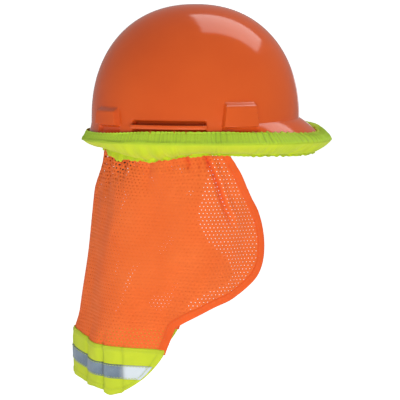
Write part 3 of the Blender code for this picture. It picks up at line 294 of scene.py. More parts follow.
class Look:
    """One Principled material: a base colour under layers of (pattern, low, high, share, colour)."""

    def __init__(self, name, base, *layers, rough=None, bumps=(), **sockets):
        LOOKS[name] = bpy.data.materials.new(name)
        LOOKS[name].use_nodes = True
        self.tree = LOOKS[name].node_tree
        self.shader = self.tree.nodes["Principled BSDF"]
        for pattern, low, high, share, colour in layers:
            factor = self.spread(pattern, low, high, 0.0, share)
            base = self.add("ShaderNodeMix", 2, {0: factor, 6: base, 7: colour}, data_type="RGBA")
        sockets["Base_Color"] = base
        if rough:
            sockets["Roughness"] = self.spread(*rough)
        for pattern, distance, strength in bumps:
            feeds = {"Height": self.pattern(*pattern), "Distance": distance, "Strength": strength}
            if "Normal" in sockets:
                feeds["Normal"] = sockets["Normal"]
            sockets["Normal"] = self.add("ShaderNodeBump", "Normal", feeds)
        for socket, value in sockets.items():
            self.feed(self.shader, socket.replace("_", " "), value)

    def feed(self, node, name, value):
        socket = node.inputs[name]
        if isinstance(value, bpy.types.NodeSocket):
            self.tree.links.new(value, socket)
        else:
            socket.default_value = value

    def add(self, kind, output, feeds=None, **settings):
        """Output of a new node whose sockets are fed."""
        node = self.tree.nodes.new(kind)
        for key, value in settings.items():
            setattr(node, key, value)
        for socket, value in (feeds or {}).items():
            self.feed(node, socket, value)
        return node.outputs[output]

    def math(self, operation, first, second=0.5):
        return self.add("ShaderNodeMath", 0, {0: first, 1: second}, operation=operation)

    def waves(self, pitch, degrees):
        """Sine stripes between -1 and 1 of this pitch in flat metres."""
        place = self.add("ShaderNodeUVMap", "UV", uv_map="flat")
        angle, rate = math.radians(degrees), math.tau / pitch
        along = (math.cos(angle) * rate, math.sin(angle) * rate, 0.0)
        turn = self.add("ShaderNodeVectorMath", "Value", {0: place, 1: along}, operation="DOT_PRODUCT")
        return self.math("SINE", turn)

    def pattern(self, kind, *numbers):
        """Noise of a scale, detail and roughness, a value of the mesh by name, or threads of a pitch."""
        if kind == "value":
            return self.add("ShaderNodeAttribute", "Fac", attribute_name=numbers[0])
        if kind == "noise":
            feeds = dict(zip(("Scale", "Detail", "Roughness"), numbers))
            feeds["Vector"] = self.add("ShaderNodeTexCoord", "Object")
            return self.add("ShaderNodeTexNoise", "Fac", feeds)
        operation, angles = {"weave": ("MULTIPLY", (0, 90)), "twill": ("MAXIMUM", (40, -40))}[kind]
        return self.math(operation, *(self.waves(numbers[0], angle) for angle in angles))

    def spread(self, pattern, low, high, new_low, new_high):
        feeds = {"Value": self.pattern(*pattern), "From Min": low, "From Max": high,
                 "To Min": new_low, "To Max": new_high}
        return self.add("ShaderNodeMapRange", "Result", feeds, clamp=True)


def lime_look(name, upper, lower, pitch):
    """Plain-woven high-visibility cloth; a mesh value turns it from the upper colour to the lower, and another
    paints shade into creases.
    """
    weave = ("weave", pitch)
    Look(name, upper, (("value", "painted_light_zone"), 0.0, 1.0, 1.0, lower),
         (("noise", 45.0, 4.0), 0.3, 0.75, 0.22, srgb(150, 196, 58)),
         # Painted shade: darker green where the mesh marks a crease.
         (("value", "crease_shade"), 0.0, 1.0, 0.55, srgb(112, 140, 40)),
         (weave, -1.0, 1.0, 0.10, srgb(226, 236, 120)),
         bumps=[(("noise", 900.0, 3.0), 0.0002, 0.35), (weave, 0.00018, 0.6)],
         Roughness=0.8, Sheen_Weight=0.1, Sheen_Roughness=0.5, Specular_IOR_Level=0.15)


def knit_look(name, light, dark, pitch):
    """Fine orange knit with a little light passing through."""
    knit = ("weave", pitch)
    look = Look(name, dark, (("noise", 28.0, 4.0), 0.3, 0.72, 1.0, light),
                (knit, -1.0, 1.0, 0.14, srgb(255, 150, 95)), bumps=[(knit, 0.0002, 0.5)],
                Roughness=0.78, Sheen_Weight=0.08, Sheen_Roughness=0.5, Specular_IOR_Level=0.12)
    through = look.add("ShaderNodeBsdfTranslucent", 0, {"Color": light})
    both = look.add("ShaderNodeMixShader", 0, {0: 0.05, 1: look.shader.outputs[0], 2: through})
    look.feed(look.tree.nodes["Material Output"], "Surface", both)


def make_looks():
    """Every material of the part; the pieces take them by name."""
    # The band's upper colour is darker and greener than its lower one: painted shade on the upper slope,
    # partly also the elastic inside the cloth.
    lime_look("lime_band", srgb(186, 224, 56), srgb(208, 226, 38), 0.0011)
    lime_look("lime_tail", srgb(206, 222, 46), srgb(212, 226, 50), 0.0009)
    knit_look("orange_net", srgb(255, 120, 55), srgb(252, 112, 48), 0.0011)
    knit_look("orange_hem", srgb(255, 103, 42), srgb(248, 97, 38), 0.0008)
    strands = ("noise", 1800.0, 2.0)
    Look("orange_thread", srgb(226, 96, 46), (strands, 0.35, 0.7, 1.0, srgb(246, 128, 74)), Roughness=0.7)
    Look("lime_thread", srgb(180, 204, 60), (strands, 0.35, 0.7, 1.0, srgb(222, 234, 96)), Roughness=0.7)
    Look("moulded_orange", srgb(216, 86, 30),
         (("noise", 9.0, 4.0), 0.35, 0.7, 1.0, srgb(223, 93, 33)),
         (("noise", 900.0, 2.0), 0.70, 0.80, 0.12, srgb(150, 60, 25)),
         rough=(("noise", 60.0, 6.0, 0.7), 0.45, 0.75, 0.12, 0.18),
         bumps=[(("noise", 260.0, 2.0), 0.00002, 0.2)], IOR=1.46, Specular_IOR_Level=0.42)
    beads = ("noise", 2600.0, 2.0)
    Look("reflective_silver", srgb(88, 104, 122),
         (("noise", 70.0, 4.0), 0.3, 0.75, 1.0, srgb(122, 140, 156)),
         # Painted reflection: near-white where the mesh value is 1, at the tape's ends, over the dull
         # blue-grey middle.
         (("value", "painted_light_zone"), 0.0, 1.0, 1.0, srgb(204, 213, 219)),
         # Painted shade: darker in the tape's creases.
         (("value", "crease_shade"), 0.0, 1.0, 0.9, srgb(50, 58, 70)),
         (beads, 0.5, 0.75, 0.2, srgb(236, 242, 246)),
         rough=(beads, 0.3, 0.7, 0.30, 0.42), bumps=[(beads, 0.00006, 0.5)], Metallic=0.55)
    cloud = ("noise", 40.0, 4.0)
    Look("black_plastic", srgb(28, 28, 30), (cloud, 0.3, 0.7, 1.0, srgb(40, 40, 43)),
         rough=(cloud, 0.3, 0.7, 0.38, 0.52), bumps=[(("noise", 1400.0, 3.0), 0.00008, 0.5)])
    twill = ("twill", 0.0016)
    Look("black_webbing", srgb(24, 24, 26), (twill, 0.0, 1.0, 1.0, srgb(58, 58, 62)),
         bumps=[(twill, 0.0003, 0.7)], Roughness=0.85, Sheen_Weight=0.3)
    fuzz = ("noise", 1500.0, 4.0)
    Look("grey_foam", srgb(58, 60, 64), (("noise", 60.0, 3.0), 0.3, 0.7, 1.0, srgb(76, 78, 83)),
         (fuzz, 0.35, 0.7, 0.4, srgb(110, 112, 118)), bumps=[(fuzz, 0.0003, 0.6)],
         Roughness=0.92, Sheen_Weight=0.4)
    brush = ("noise", 300.0, 5.0)
    Look("steel", srgb(150, 152, 156), (brush, 0.0, 1.0, 1.0, srgb(190, 192, 196)),
         rough=(brush, 0.3, 0.7, 0.25, 0.42), bumps=[(brush, 0.00004, 0.4)], Metallic=1.0)


# Shell

LUG_SIDE, LUG_BEVEL, LUG_FOOT, LUG_TAPER = 0.0020, 0.0044, 0.0014, 0.0030
RECESS_DEPTH, LUG_RECESS, RECESS_HEIGHT, RECESS_EDGE = 0.0065, 0.0033, 0.0048, 0.0022
RAMP_ROUNDING, RAIL_ROUNDING = 0.15, 0.0011
VISOR_RISE, VISOR_SIDE_DIP = 0.003, 0.001
SIDE_FLARE_POWER, VISOR_FLARE_POWER = 0.45, 1.15
PLAIN_COLUMNS, MARK_ROOM, MARK_STEP, LUG_MARKS, RAIL_MARKS = 240, 0.012, 0.0006, 0.0076, 0.0030
WALL_TOP, WALL_STEP, ARC_STEPS = 0.0575, 0.0009, 48
SHARP_ANGLE = math.radians(38)


def plan_normal(theta):
    return unit(np.stack([np.cos(theta) / DOME_LENGTH, np.sin(theta) / DOME_WIDTH], -1))


def dome_plan(theta, offset=0.0, share=1.0):
    outline = np.stack([DOME_LENGTH / 2 * np.cos(theta), DOME_WIDTH / 2 * np.sin(theta)], -1)
    return outline * np.asarray(share)[..., None] + plan_normal(theta) * np.asarray(offset)[..., None]


def arc_rate(theta):
    return np.hypot(DOME_LENGTH / 2 * np.sin(theta), DOME_WIDTH / 2 * np.cos(theta))


def dome_share(height):
    rise = np.clip((height - ROOT_HEIGHT) / DOME_RISE, 0.0, 1.0)
    return np.maximum(1 - rise ** DOME_POWER, 0.0) ** (1 / DOME_POWER)


def peak_share(theta):
    turn = np.minimum(np.abs(wrapped(theta)) / PEAK_HALF_ANGLE, 1.0)
    return np.cos(turn * math.pi / 2) ** 2


def brim_reach(theta):
    return lerp(BRIM_REACH, PEAK_REACH, peak_share(theta))


def edge_height(theta):
    return -BRIM_DROOP * np.cos(theta) ** 2


def rounded_ramp(share):
    """0 to 1 in a straight line with its two corners rounded."""
    r = RAMP_ROUNDING
    share = np.clip(share, -r, 1 + r)
    low = np.where(share < r, (share + r) ** 2 / (4 * r), share)
    return np.where(share > 1 - r, 1 - (1 + r - share) ** 2 / (4 * r), low)


def along_wall(theta, angle):
    """Distance along the wall from the nearer of the two places at this angle, right and left."""
    return np.abs(np.abs(wrapped(theta)) - angle) * arc_rate(angle)


def lug_lift(theta, height):
    lift = 0.0
    for angle, width, top in LUGS:
        rise = np.clip((height - LUG_BOTTOM) / (top - LUG_BOTTOM), 0.0, 1.0)
        side = rounded_ramp((width / 2 - LUG_TAPER * rise - along_wall(theta, angle)) / LUG_SIDE)
        upper = rounded_ramp((top - height) / LUG_BEVEL)
        lower = rounded_ramp((height - LUG_BOTTOM) / LUG_FOOT)
        lift = np.maximum(lift, LUG_DEPTH * side * np.minimum(upper, lower))
    return lift


def recess(theta, height):
    """Depth of the hollows in the wall, above and behind each rail and under each lug."""
    length = (RAIL_END - RAIL_START) * arc_rate(RAIL_START)
    hollows = [((RAIL_START + RAIL_END) / 2, length, RAIL_TOP + RECESS_HEIGHT, RECESS_DEPTH)]
    hollows += [(angle, width, LUG_BOTTOM, LUG_RECESS) for angle, width, top in LUGS]
    depth = 0.0
    for angle, width, top, deep in hollows:
        ends = rounded_ramp((width / 2 - along_wall(theta, angle)) / RECESS_EDGE)
        depth = np.maximum(depth, deep * ends * rounded_ramp((top - height) / RECESS_EDGE))
    return depth


def shell_columns():
    """Even angles round the shell, with close ones where the lugs and the rails end."""
    edges = [(angle + end * width / 2 / arc_rate(angle), -end / arc_rate(angle), LUG_MARKS)
             for angle, width, top in LUGS for end in (-1, 1)]
    rate = arc_rate(RAIL_START)
    edges += [(RAIL_START, 1 / rate, RAIL_MARKS), (RAIL_END, -1 / rate, RAIL_MARKS)]
    marks = [way * (edge + inwards * back) % math.tau for way in (-1, 1) for edge, inwards, depth in edges
             for back in np.arange(-MARK_STEP, depth, MARK_STEP)]
    angles = np.linspace(0, math.tau, PLAIN_COLUMNS, endpoint=False)
    kept = [a for a in angles if min(abs(wrapped(a - m)) for m in marks) > MARK_ROOM]
    return np.array(sorted(kept + marks))


def brim_shape(theta):
    """How far the visor's root stands above the dome's foot, and the power of the brim's flare."""
    away = np.degrees(np.abs(wrapped(theta)))
    rise = VISOR_RISE * peak_share(theta) - VISOR_SIDE_DIP * smooth(75, 55, away)
    return rise, lerp(SIDE_FLARE_POWER, VISOR_FLARE_POWER, smooth(72, 56, away))


def brim_level(theta, offset):
    """Height of the brim's upper face at an offset from the dome."""
    rise, power = brim_shape(theta)
    share = 1 - np.clip(offset / brim_reach(theta), 0.0, 1.0) ** power
    return lerp(edge_height(theta), ROOT_HEIGHT + rise, share)


def shell_grid(theta, brim_rows, heights, lugs):
    """Outer surface (columns, rows, 3) from the brim's edge up; brim_rows run from 0 at the edge to 1."""
    column = theta[:, None]
    rise, power = brim_shape(column)
    share = np.asarray(brim_rows)[None, :]
    z = lerp(edge_height(column), ROOT_HEIGHT + rise, share)
    offset = brim_reach(column) * (1 - share) ** (1 / power)
    if lugs:
        offset = np.maximum(offset, lug_lift(column, z))
    hollow = recess(column, z) * smooth(0.4, 0.6, share)
    brim = raised(dome_plan(column, offset - hollow), z)
    height = np.asarray(heights)[None, :]
    z = height + rise * smooth(ROOT_HEIGHT + ROOT_RISE_FADE, ROOT_HEIGHT, height)
    lift = lug_lift(column, z) if lugs else 0.0
    wall = raised(dome_plan(column, lift - recess(column, z), dome_share(height)), z)
    return np.concatenate([brim, wall], 1)


def dome_heights(count, low):
    turn = np.linspace(math.pi / 2, 0, count, endpoint=False)[1:]
    heights = ROOT_HEIGHT + DOME_RISE * np.cos(turn) ** (2 / DOME_POWER)
    return [height for height in heights if height > low]


def shell_mesh():
    theta = shell_columns()
    columns = len(theta)
    brim_rows = [*np.linspace(0, 0.80, 15), *np.linspace(0.83, 1.0, 9)[:-1]]
    heights = list(np.arange(ROOT_HEIGHT, WALL_TOP, WALL_STEP))
    heights += dome_heights(52, heights[-1] + 0.002)
    outer = shell_grid(theta, brim_rows, heights, True)
    inner_heights = [ROOT_HEIGHT] + dome_heights(34, ROOT_HEIGHT + 0.002)
    plain = shell_grid(theta, np.linspace(0, 1, 9)[:-1], inner_heights, False)
    inner = plain + grid_normals(plain) * SHELL_WALL
    apex = ROOT_HEIGHT + DOME_RISE
    verts = np.concatenate([outer.reshape(-1, 3), inner.reshape(-1, 3),
                            [[0, 0, apex], [0, 0, apex - SHELL_WALL]]])
    out_rows, in_rows = outer.shape[1], inner.shape[1]
    start = columns * out_rows
    faces = grid_quads(columns, out_rows, True)[:, ::-1].tolist()
    faces += grid_quads(columns, in_rows, True, start).tolist()
    tops = len(verts) - 2
    for i in range(columns):
        k = (i + 1) % columns
        out_here, out_next = i * out_rows, k * out_rows
        in_here, in_next = start + i * in_rows, start + k * in_rows
        faces.append([in_here, in_next, out_next, out_here])
        faces.append([out_here + out_rows - 1, out_next + out_rows - 1, tops])
        faces.append([in_next + in_rows - 1, in_here + in_rows - 1, tops + 1])
    return make_mesh(verts, faces)


def arc_solid(start, end, offset_low, offset_high, low, high, r=0.0):
    """Solid along the dome's outline between angles, offsets and heights, its outer edges rounded by r."""
    theta = np.linspace(start, end, ARC_STEPS)
    reach = offset_high + 0 * theta
    outer = [(0.0, high), (0.0, low)]
    if r:
        outer = [(-r + r * math.sin(t), high - r + r * math.cos(t)) for t in np.linspace(0, math.pi / 2, 5)]
        outer += [(x, low + high - z) for x, z in reversed(outer)]
        length = abs(end - start) * DOME_LENGTH / 2
        from_start = np.linspace(0, length, ARC_STEPS)
        from_end = np.minimum(from_start, from_start[::-1])
        reach = reach - 2.2 * r * (1 - np.clip(from_end / (3.0 * r), 0, 1)) ** 2
    rings = [raised(dome_plan(theta, offset_low), z) for z in (low, high)]
    rings += [raised(dome_plan(theta, reach + back), z) for back, z in outer]
    return loop_mesh(rings[::-1] if end > start else rings, (1, 1))


def lug_matrix(angle):
    outwards = plan_normal(angle)
    turn = Matrix.Rotation(math.atan2(outwards[1], outwards[0]), 4, "Z")
    return Matrix.Translation((*dome_plan(angle), 0.0)) @ turn


def combine(thing, mesh, operation, matrix=None):
    tool = new_object("tool", mesh)
    if matrix:
        tool.matrix_world = matrix
    modify(thing, "BOOLEAN", operation=operation, solver="MANIFOLD", object=tool)
    return tool


def applied(thing, tools):
    """Give the object the mesh that its modifiers make, and remove the tools."""
    bpy.context.view_layer.update()
    graph = bpy.context.evaluated_depsgraph_get()
    mesh = bpy.data.meshes.new_from_object(thing.evaluated_get(graph))
    thing.modifiers.clear()
    thing.data = mesh
    for tool in tools:
        bpy.data.objects.remove(tool)
    return mesh


def add_shell():
    """Shell with the key pockets and the accessory rails joined to it, and their slots cut."""
    shell = make_object("shell_skin", shell_mesh(), "moulded_orange", "shell", "shell", slot="shell_plastic")
    half = KEY_WIDTH / 2 + KEY_FIT
    inner = -POCKET_INSET - KEY_THICKNESS - KEY_FIT
    pocket = (inner - POCKET_WALL, -SHELL_WALL / 2, half + POCKET_WALL, 0.0, KEY_ENGAGE)
    key_slot = (inner, KEY_FIT - POCKET_INSET, half, POCKET_WALL, 2 * KEY_ENGAGE)
    tools = []
    for operation, (near, far, half, above, tall) in (("UNION", pocket), ("DIFFERENCE", key_slot)):
        for way, (angle, width, top) in product((-1, 1), LUGS):
            high = top - POCKET_BELOW_TOP + above
            mesh = box_mesh((near, -half, high - tall), (far, half, high))
            tools.append(combine(shell, mesh, operation, lug_matrix(way * angle)))
    for way in (-1, 1):
        rail = arc_solid(way * RAIL_START, way * RAIL_END, -SHELL_WALL / 2, RAIL_DEPTH,
                         RAIL_TOP - RAIL_HEIGHT, RAIL_TOP, RAIL_ROUNDING)
        tools.append(combine(shell, rail, "UNION"))
    margin = SLOT_WALL / arc_rate(RAIL_START)
    outer = RAIL_DEPTH - SLOT_WALL
    for way in (-1, 1):
        slot = arc_solid(way * (RAIL_START + margin), way * (RAIL_END - margin),
                         outer - SLOT_WIDTH, outer, 0.0, 2 * RAIL_TOP)
        tools.append(combine(shell, slot, "DIFFERENCE"))
    mesh = applied(shell, tools)
    mesh.shade_smooth()
    mesh.set_sharp_from_angle(angle=SHARP_ANGLE)


# Casing round the brim

CASING_COLUMNS, CASING_ROWS, FRILL_ROWS, UPPER_ROWS, BROAD_ROW = 1440, 24, 6, 4, 14
CASING_CLOTH, FOLD_SHARE, ROW_POWER = 0.0008, 0.585, 0.95
FRILL_DROP, FRILL_RANGE, FRILL_OUT, FLAP_DROP = 0.0022, (0.0006, 0.0052), 0.0014, 0.0062
JAG_REACH, JAG_RANGE, JAG_LIFT = 0.0016, (0.0006, 0.0032), 0.0006
PUCKER, FINE_PUCKER, SLOW_WAVE, LOOSE_WAVE, LOOSE_PUCKER = 0.0012, 0.0005, 0.0009, 0.0011, 0.0007
FOLD_DIP, HEM_ROLL, TOP_LIFT, PEAK_TOP_LIFT, FAR_RIM_LIFT = 0.0009, 0.0007, 0.0009, 0.0013, 0.0055


def casing_section(theta):
    """Points (6, columns, 2) of the casing's section as offset and height, from top hem to lower hem."""
    away = np.abs(wrapped(theta))
    peak, reach, edge = peak_share(theta), brim_reach(theta), edge_height(theta)
    power = lerp(FLARE_POWER, PEAK_FLARE_POWER, peak)
    root = ROOT_HEIGHT + PEAK_ROOT_RISE * smooth(ROOT_RISE_START, ROOT_RISE_END, away)
    fall = edge - root
    top = lerp(CASING_TOP, CASING_REAR_TOP, smooth(CASING_TOP_START, CASING_TOP_END, away))
    side_start = ((root - top) / -fall) ** (1 / power)
    left = smooth(CASING_LEFT_START, CASING_LEFT_END, wrapped(theta))
    cover = lerp(CASING_PEAK_COVER, CASING_LEFT_COVER, left)
    start = lerp(side_start, 1 - cover / np.hypot(reach, fall), peak)
    tuck = lerp(CASING_TUCK, CASING_PEAK_TUCK, peak)
    sag = CASING_SAG * smooth(CASING_SAG_SPREAD, 0.0, np.abs(away - CASING_SAG_ANGLE))
    drop = lerp(CASING_REAR_DROP, CASING_FRONT_DROP, (1 + np.cos(theta)) / 2) + sag
    puff = lerp(CASING_LIFT, CASING_PUFF, peak)
    points = []
    for share in (0.0, 1 / 3, 2 / 3):
        flare = lerp(start, 1.0, share)
        spot = np.stack([reach * flare, root + fall * flare ** power], -1)
        slope = unit(np.stack([reach, fall * power * flare ** (power - 1)], -1))
        lift = lerp(CASING_LIFT, puff, smooth(0.0, 2 / 3, share))
        points.append(spot + np.stack([-slope[..., 1], slope[..., 0]], -1) * lift[..., None])
    points.append(np.stack([reach + puff, edge], -1))
    points.append(np.stack([reach - CASING_BELLY_IN * tuck, edge - CASING_BELLY_DOWN * drop], -1))
    points.append(np.stack([reach - tuck, edge - drop], -1))
    return np.stack(points)


def casing_hem(theta):
    """Points of the casing's lower hem."""
    spot = casing_section(theta)[-1]
    return raised(dome_plan(theta, spot[..., 0]), spot[..., 1])


def casing_grid():
    """Angles, shares of the section and points, with a jagged frill along both hems."""
    theta = np.linspace(0, math.tau, CASING_COLUMNS, endpoint=False)
    column = theta[:, None]
    share = np.linspace(0, 1, CASING_ROWS) ** ROW_POWER
    spot = spline(casing_section(theta), np.repeat(share[None, :], CASING_COLUMNS, 0))
    away = np.degrees(np.abs(wrapped(column)))
    uneven = lerp(0.0004, 0.0012, smooth(60, 95, away))
    frill = FRILL_DROP + uneven * ripple(column, 11, 9, 34)
    frill = np.clip(frill + 0.0005 * ripple(column, 12, 70, 130), *FRILL_RANGE)
    flap = FLAP_DROP * smooth(118, 142, away) * (1 - smooth(146, 162, away))
    frill_share = np.linspace(0, 1, FRILL_ROWS + 1)[None, 1:]
    lower = spot[:, -1:, :] + np.stack([FRILL_OUT * np.sin(frill_share * 1.6) + 0.3 * flap * frill_share,
                                        -(frill + flap) * frill_share], -1)
    first = spot[:, :1, :]
    peak = smooth(0.05, 0.3, peak_share(column))
    jags = JAG_REACH + 0.0006 * ripple(column, 13, 40, 90) + 0.0005 * ripple(column, 14, 90, 150)
    tuck = np.linspace(1, 0, UPPER_ROWS + 1)[None, :-1]
    inner = first[..., 0] - np.clip(jags, *JAG_RANGE) * tuck * lerp(0.1, 1.0, peak)
    on_brim = brim_level(column, inner) + JAG_LIFT
    level = lerp(first[..., 1] + 0.0004 * tuck, on_brim, peak * smooth(0, 1, tuck))
    spot = np.concatenate([np.stack([inner, level], -1), spot, lower], 1)
    share = np.concatenate([-0.05 * tuck[0], share, 1 + frill_share[0] * 0.1])
    return column, share[None, :], raised(dome_plan(column, spot[..., 0]), spot[..., 1])


def fine_gathers(theta):
    return np.abs(np.sin(74 * theta + 1.7 * ripple(theta, 1, 5, 21)))


def casing_puckers(theta, share):
    """Height of the gathers over the plain casing, and how much painted shade each point takes, most in the
    creases.
    """
    front = 1 - smooth(math.radians(78), math.radians(100), np.abs(wrapped(theta)))
    fine = fine_gathers(theta)
    finer = np.abs(np.sin(133 * theta + 1.5 * ripple(theta, 2, 8, 30)))
    strength = np.clip(0.55 + 0.45 * ripple(theta, 3, 3, 17), 0.12, 1.2) * lerp(0.55, 1.5, front)
    upper = smooth(-0.02, 0.06, share) * (1 - smooth(0.48, FOLD_SHARE, share))
    hem = 1 - smooth(0.05, 0.16, share)
    lower = smooth(FOLD_SHARE, 0.75, share)
    loose = ripple(theta, 4, 22, 48)
    height = PUCKER * (fine - 0.55) * strength * (upper + 0.5 * hem)
    height += FINE_PUCKER * (finer - 0.6) * upper
    height += SLOW_WAVE * ripple(theta, 5, 9, 19) * upper * (1 - front)
    height += LOOSE_WAVE * loose * lower + LOOSE_PUCKER * (fine - 0.6) * strength * lower
    height += HEM_ROLL * bell(share, 0.03, 0.035) - FOLD_DIP * bell(share, FOLD_SHARE, 0.030)
    # Painted shade: darkest in the gather valleys, along the fold line, in the troughs of the loose waves and
    # over the front.
    crease_shade = (1 - np.minimum(fine / 0.45, 1.0)) * strength * (upper + 0.6 * hem)
    crease_shade += 0.35 * bell(share, FOLD_SHARE, 0.02)
    crease_shade += 0.25 * np.clip(-loose, 0, 1) * lower + 0.16 * front * (upper + lower)
    return height, np.clip(crease_shade, 0, 1)


def add_casing():
    theta, share, place = casing_grid()
    normals = -grid_normals(place)
    height, crease_shade = casing_puckers(theta, share)
    front = place + normals * (height + CASING_CLOTH)[..., None]
    top = np.clip(1 - share / 0.12, 0, 1) * fine_gathers(theta)
    turned = np.degrees(wrapped(theta))
    rim = smooth(-8, 18, turned) * (1 - smooth(48, 75, turned))
    peak = smooth(0.05, 0.3, peak_share(theta)) * smooth(-0.04, 0.0, share)
    front[..., 2] += lerp(TOP_LIFT, PEAK_TOP_LIFT, peak) * top + FAR_RIM_LIFT * rim * bell(share, 0.22, 0.17)
    back = front - normals * CASING_CLOTH
    # Painted light: 0 on the upper casing, which takes the darker painted-shade colour; 1 on the lower frill
    # and on the top hem at the peak, which take the brighter colour.
    painted_light_zone = smooth(0.50, 0.66, share) + 0.8 * peak * (1 - smooth(0.01, 0.06, share))
    size = (run_along(front[:, UPPER_ROWS + BROAD_ROW])[-1], run_along(place[0])[-1])
    mesh = sheet_mesh(front, back, size, True, {"painted_light_zone": painted_light_zone, "crease_shade": crease_shade})
    return make_object("brim_casing", mesh, "lime_band", "shell", "brim_band", "upper_elastic",
                       "lower_elastic", slot="lime_fabric")


# Neck shade cloth

GROOVES = (  # start and end as turn in degrees and drop, then depth and half width
    ((100, -0.002), (121, 0.080), 0.0075, 0.0020),
    ((89, -0.002), (91, 0.016), 0.0050, 0.0022),
    ((24, 0.004), (29, 0.058), 0.0050, 0.0085),
    ((64, 0.006), (66, 0.050), 0.0045, 0.0075),
    ((45, 0.0), (44, 0.030), 0.0030, 0.0050),
    ((76, 0.02), (58, 0.150), 0.0022, 0.0100),
    ((104, 0.10), (84, 0.190), 0.0020, 0.0090),
    ((12, 0.03), (20, 0.190), 0.0025, 0.0110),
    ((-28, 0.004), (-24, 0.070), 0.0050, 0.0085),
    ((-66, 0.002), (-61, 0.060), 0.0045, 0.0070),
    ((-86, 0.0), (-88, 0.030), 0.0030, 0.0040),
    ((-48, 0.05), (-58, 0.180), 0.0030, 0.0110),
)
TAIL_CREASES = (  # turn in degrees and depth
    (6, 0.0026), (29, 0.0034), (48, 0.0034), (61, 0.0016), (-21, 0.0032), (-47, 0.0030), (-66, 0.002))
CREASE_STEEP, CREASE_SOFT = 0.0015, 0.0060
CLOTH_RADIUS, CLOTH_STEP, SEAM_RISE = 0.108, 0.0006, 0.009
GATHER, FINE_GATHER, GATHER_FADE, TOP_DIP, SOFT_WAVE = 0.0013, 0.0010, 0.020, 0.0018, 0.0013


def groove_relief(turn, drop):
    """Creases and pleats, as a height over the plain cloth."""
    relief = 0.0
    for (turn_0, drop_0), (turn_1, drop_1), depth, width in GROOVES:
        start = np.array([math.radians(turn_0) * CLOTH_RADIUS, drop_0])
        line = np.array([math.radians(turn_1) * CLOTH_RADIUS, drop_1]) - start
        length = float(np.linalg.norm(line))
        line /= length
        x, y = turn * CLOTH_RADIUS - start[0], drop - start[1]
        along = (x * line[0] + y * line[1]) / length
        aside = x * line[1] - y * line[0]
        fade = smooth(-0.25, 0.12, along) * (1 - smooth(0.55, 1.12, along))
        spread = width * (1 + 0.5 * np.clip(along, 0, 1))
        groove = bell(aside, 0.0, spread) - 0.45 * bell(aside, 1.9 * spread, 1.3 * spread)
        relief -= depth * fade * groove
    return relief


def cloth_relief(turn, drop):
    gain = 1.0 + LEFT_FOLD_GAIN * smooth(LEFT_FOLD_START, LEFT_FOLD_END, -turn)
    relief = FOLD_DEPTH * gain * smooth(0.0, DRAPE_SETTLE, drop) * np.cos(FOLD_COUNT * turn)
    gathers = GATHER * ripple(turn, 21, 34, 75) + FINE_GATHER * ripple(turn, 22, 75, 130)
    relief += gathers * smooth(0.002, 0.010, drop) * np.exp(-np.maximum(drop, 0) / GATHER_FADE)
    relief -= TOP_DIP * (1 - smooth(0.006, 0.018, drop)) * smooth(0.2, 0.4, np.abs(turn))
    soft = ripple(turn + 2.2 * drop, 23, 6, 19) * np.sin(16 * drop + ripple(turn, 24, 2, 7))
    relief += SOFT_WAVE * soft * smooth(0.01, 0.06, drop)
    for degrees, depth in TAIL_CREASES:
        aside = (turn - math.radians(degrees)) * CLOTH_RADIUS
        spread = np.where(aside > 0, CREASE_STEEP, CREASE_SOFT)
        relief -= depth * bell(aside, 0.0, spread) * smooth(-0.028, 0.004, drop - DRAPE_LENGTH)
    return relief + groove_relief(turn, drop)


def cloth_middle(turn, drop):
    """Point in the middle of the cloth: turn from the rear towards the right, drop below the casing."""
    hem = casing_hem(math.pi + turn)
    kick = TAIL_KICK * smooth(DRAPE_LENGTH - TAIL_KICK_LENGTH, DRAPE_LENGTH, drop)
    spread = np.minimum(drop, DRAPE_LENGTH)
    length = DOME_LENGTH / 2 - DRAPE_TUCK + (DRAPE_FLARE - DRAPE_DRIFT) * spread + kick
    width = DOME_WIDTH / 2 - DRAPE_TUCK - DRAPE_NARROWING * (drop / DRAPE_LENGTH) ** 2
    hung = np.stack([-DRAPE_DRIFT * spread - length * np.cos(turn), -width * np.sin(turn)], -1)
    settle = smooth(0.0, DRAPE_SETTLE, drop)
    outwards = np.stack([-np.cos(turn), -np.sin(turn)], -1)
    plan = lerp(hem[..., :2], hung, settle[..., None]) + outwards * cloth_relief(turn, drop)[..., None]
    level = lerp(hem[..., 2], DRAPE_PITCH * np.cos(turn) - DRAPE_HANG, settle)
    return raised(plan, level - (drop + DRAPE_BELOW_CASING))


def cloth(turn, drop, lift=0.0):
    """Points lifted outwards from the middle of the cloth, and its normals."""
    turn, drop = np.broadcast_arrays(np.asarray(turn, float), np.asarray(drop, float))
    along = cloth_middle(turn + CLOTH_STEP, drop) - cloth_middle(turn - CLOTH_STEP, drop)
    down = cloth_middle(turn, drop + CLOTH_STEP) - cloth_middle(turn, drop - CLOTH_STEP)
    normal = unit(np.cross(down, along))
    return cloth_middle(turn, drop) + normal * np.asarray(lift)[..., None], normal


def edge_trail(rows, length, steps):
    """Curve of distance and turn through rows of length share and degrees."""
    return spline(np.array(rows) * (length, math.pi / 180), np.linspace(0, 1, steps))


def edge_turn(side, drop):
    """Turn of a free edge at each drop, as a size without its sign."""
    trail = edge_trail(RIGHT_EDGE if side > 0 else LEFT_EDGE, DRAPE_LENGTH, 400)
    trail = np.append(trail, [[DRAPE_LENGTH, math.radians(TAIL_EDGE[0][1])]], 0)
    return np.interp(drop, *trail.T)


def seam_drop(turn):
    return DRAPE_LENGTH - SEAM_RISE * (1 - smooth(0.0, SEAM_RISE_ANGLE, np.abs(turn)))


# Mesh of the drape

HOLE_PITCH, HOLE_ROW, HOLE_WIDTH, HOLE_HEIGHT, HOLE_STRETCH = 0.0045, 0.0041, 0.00050, 0.000525, 0.9
NET_TOP, NET_UNDER_TAIL, NET_UNDER_BINDING = -0.0035, 0.004, 0.0035
NET_HALF, HOLE_EDGE_HALF = 0.00042, 0.00020
NET_LENGTH, NET_WIDTH, NET_TURN, NET_COLUMNS = 0.1140, 0.0920, 2.7, 80


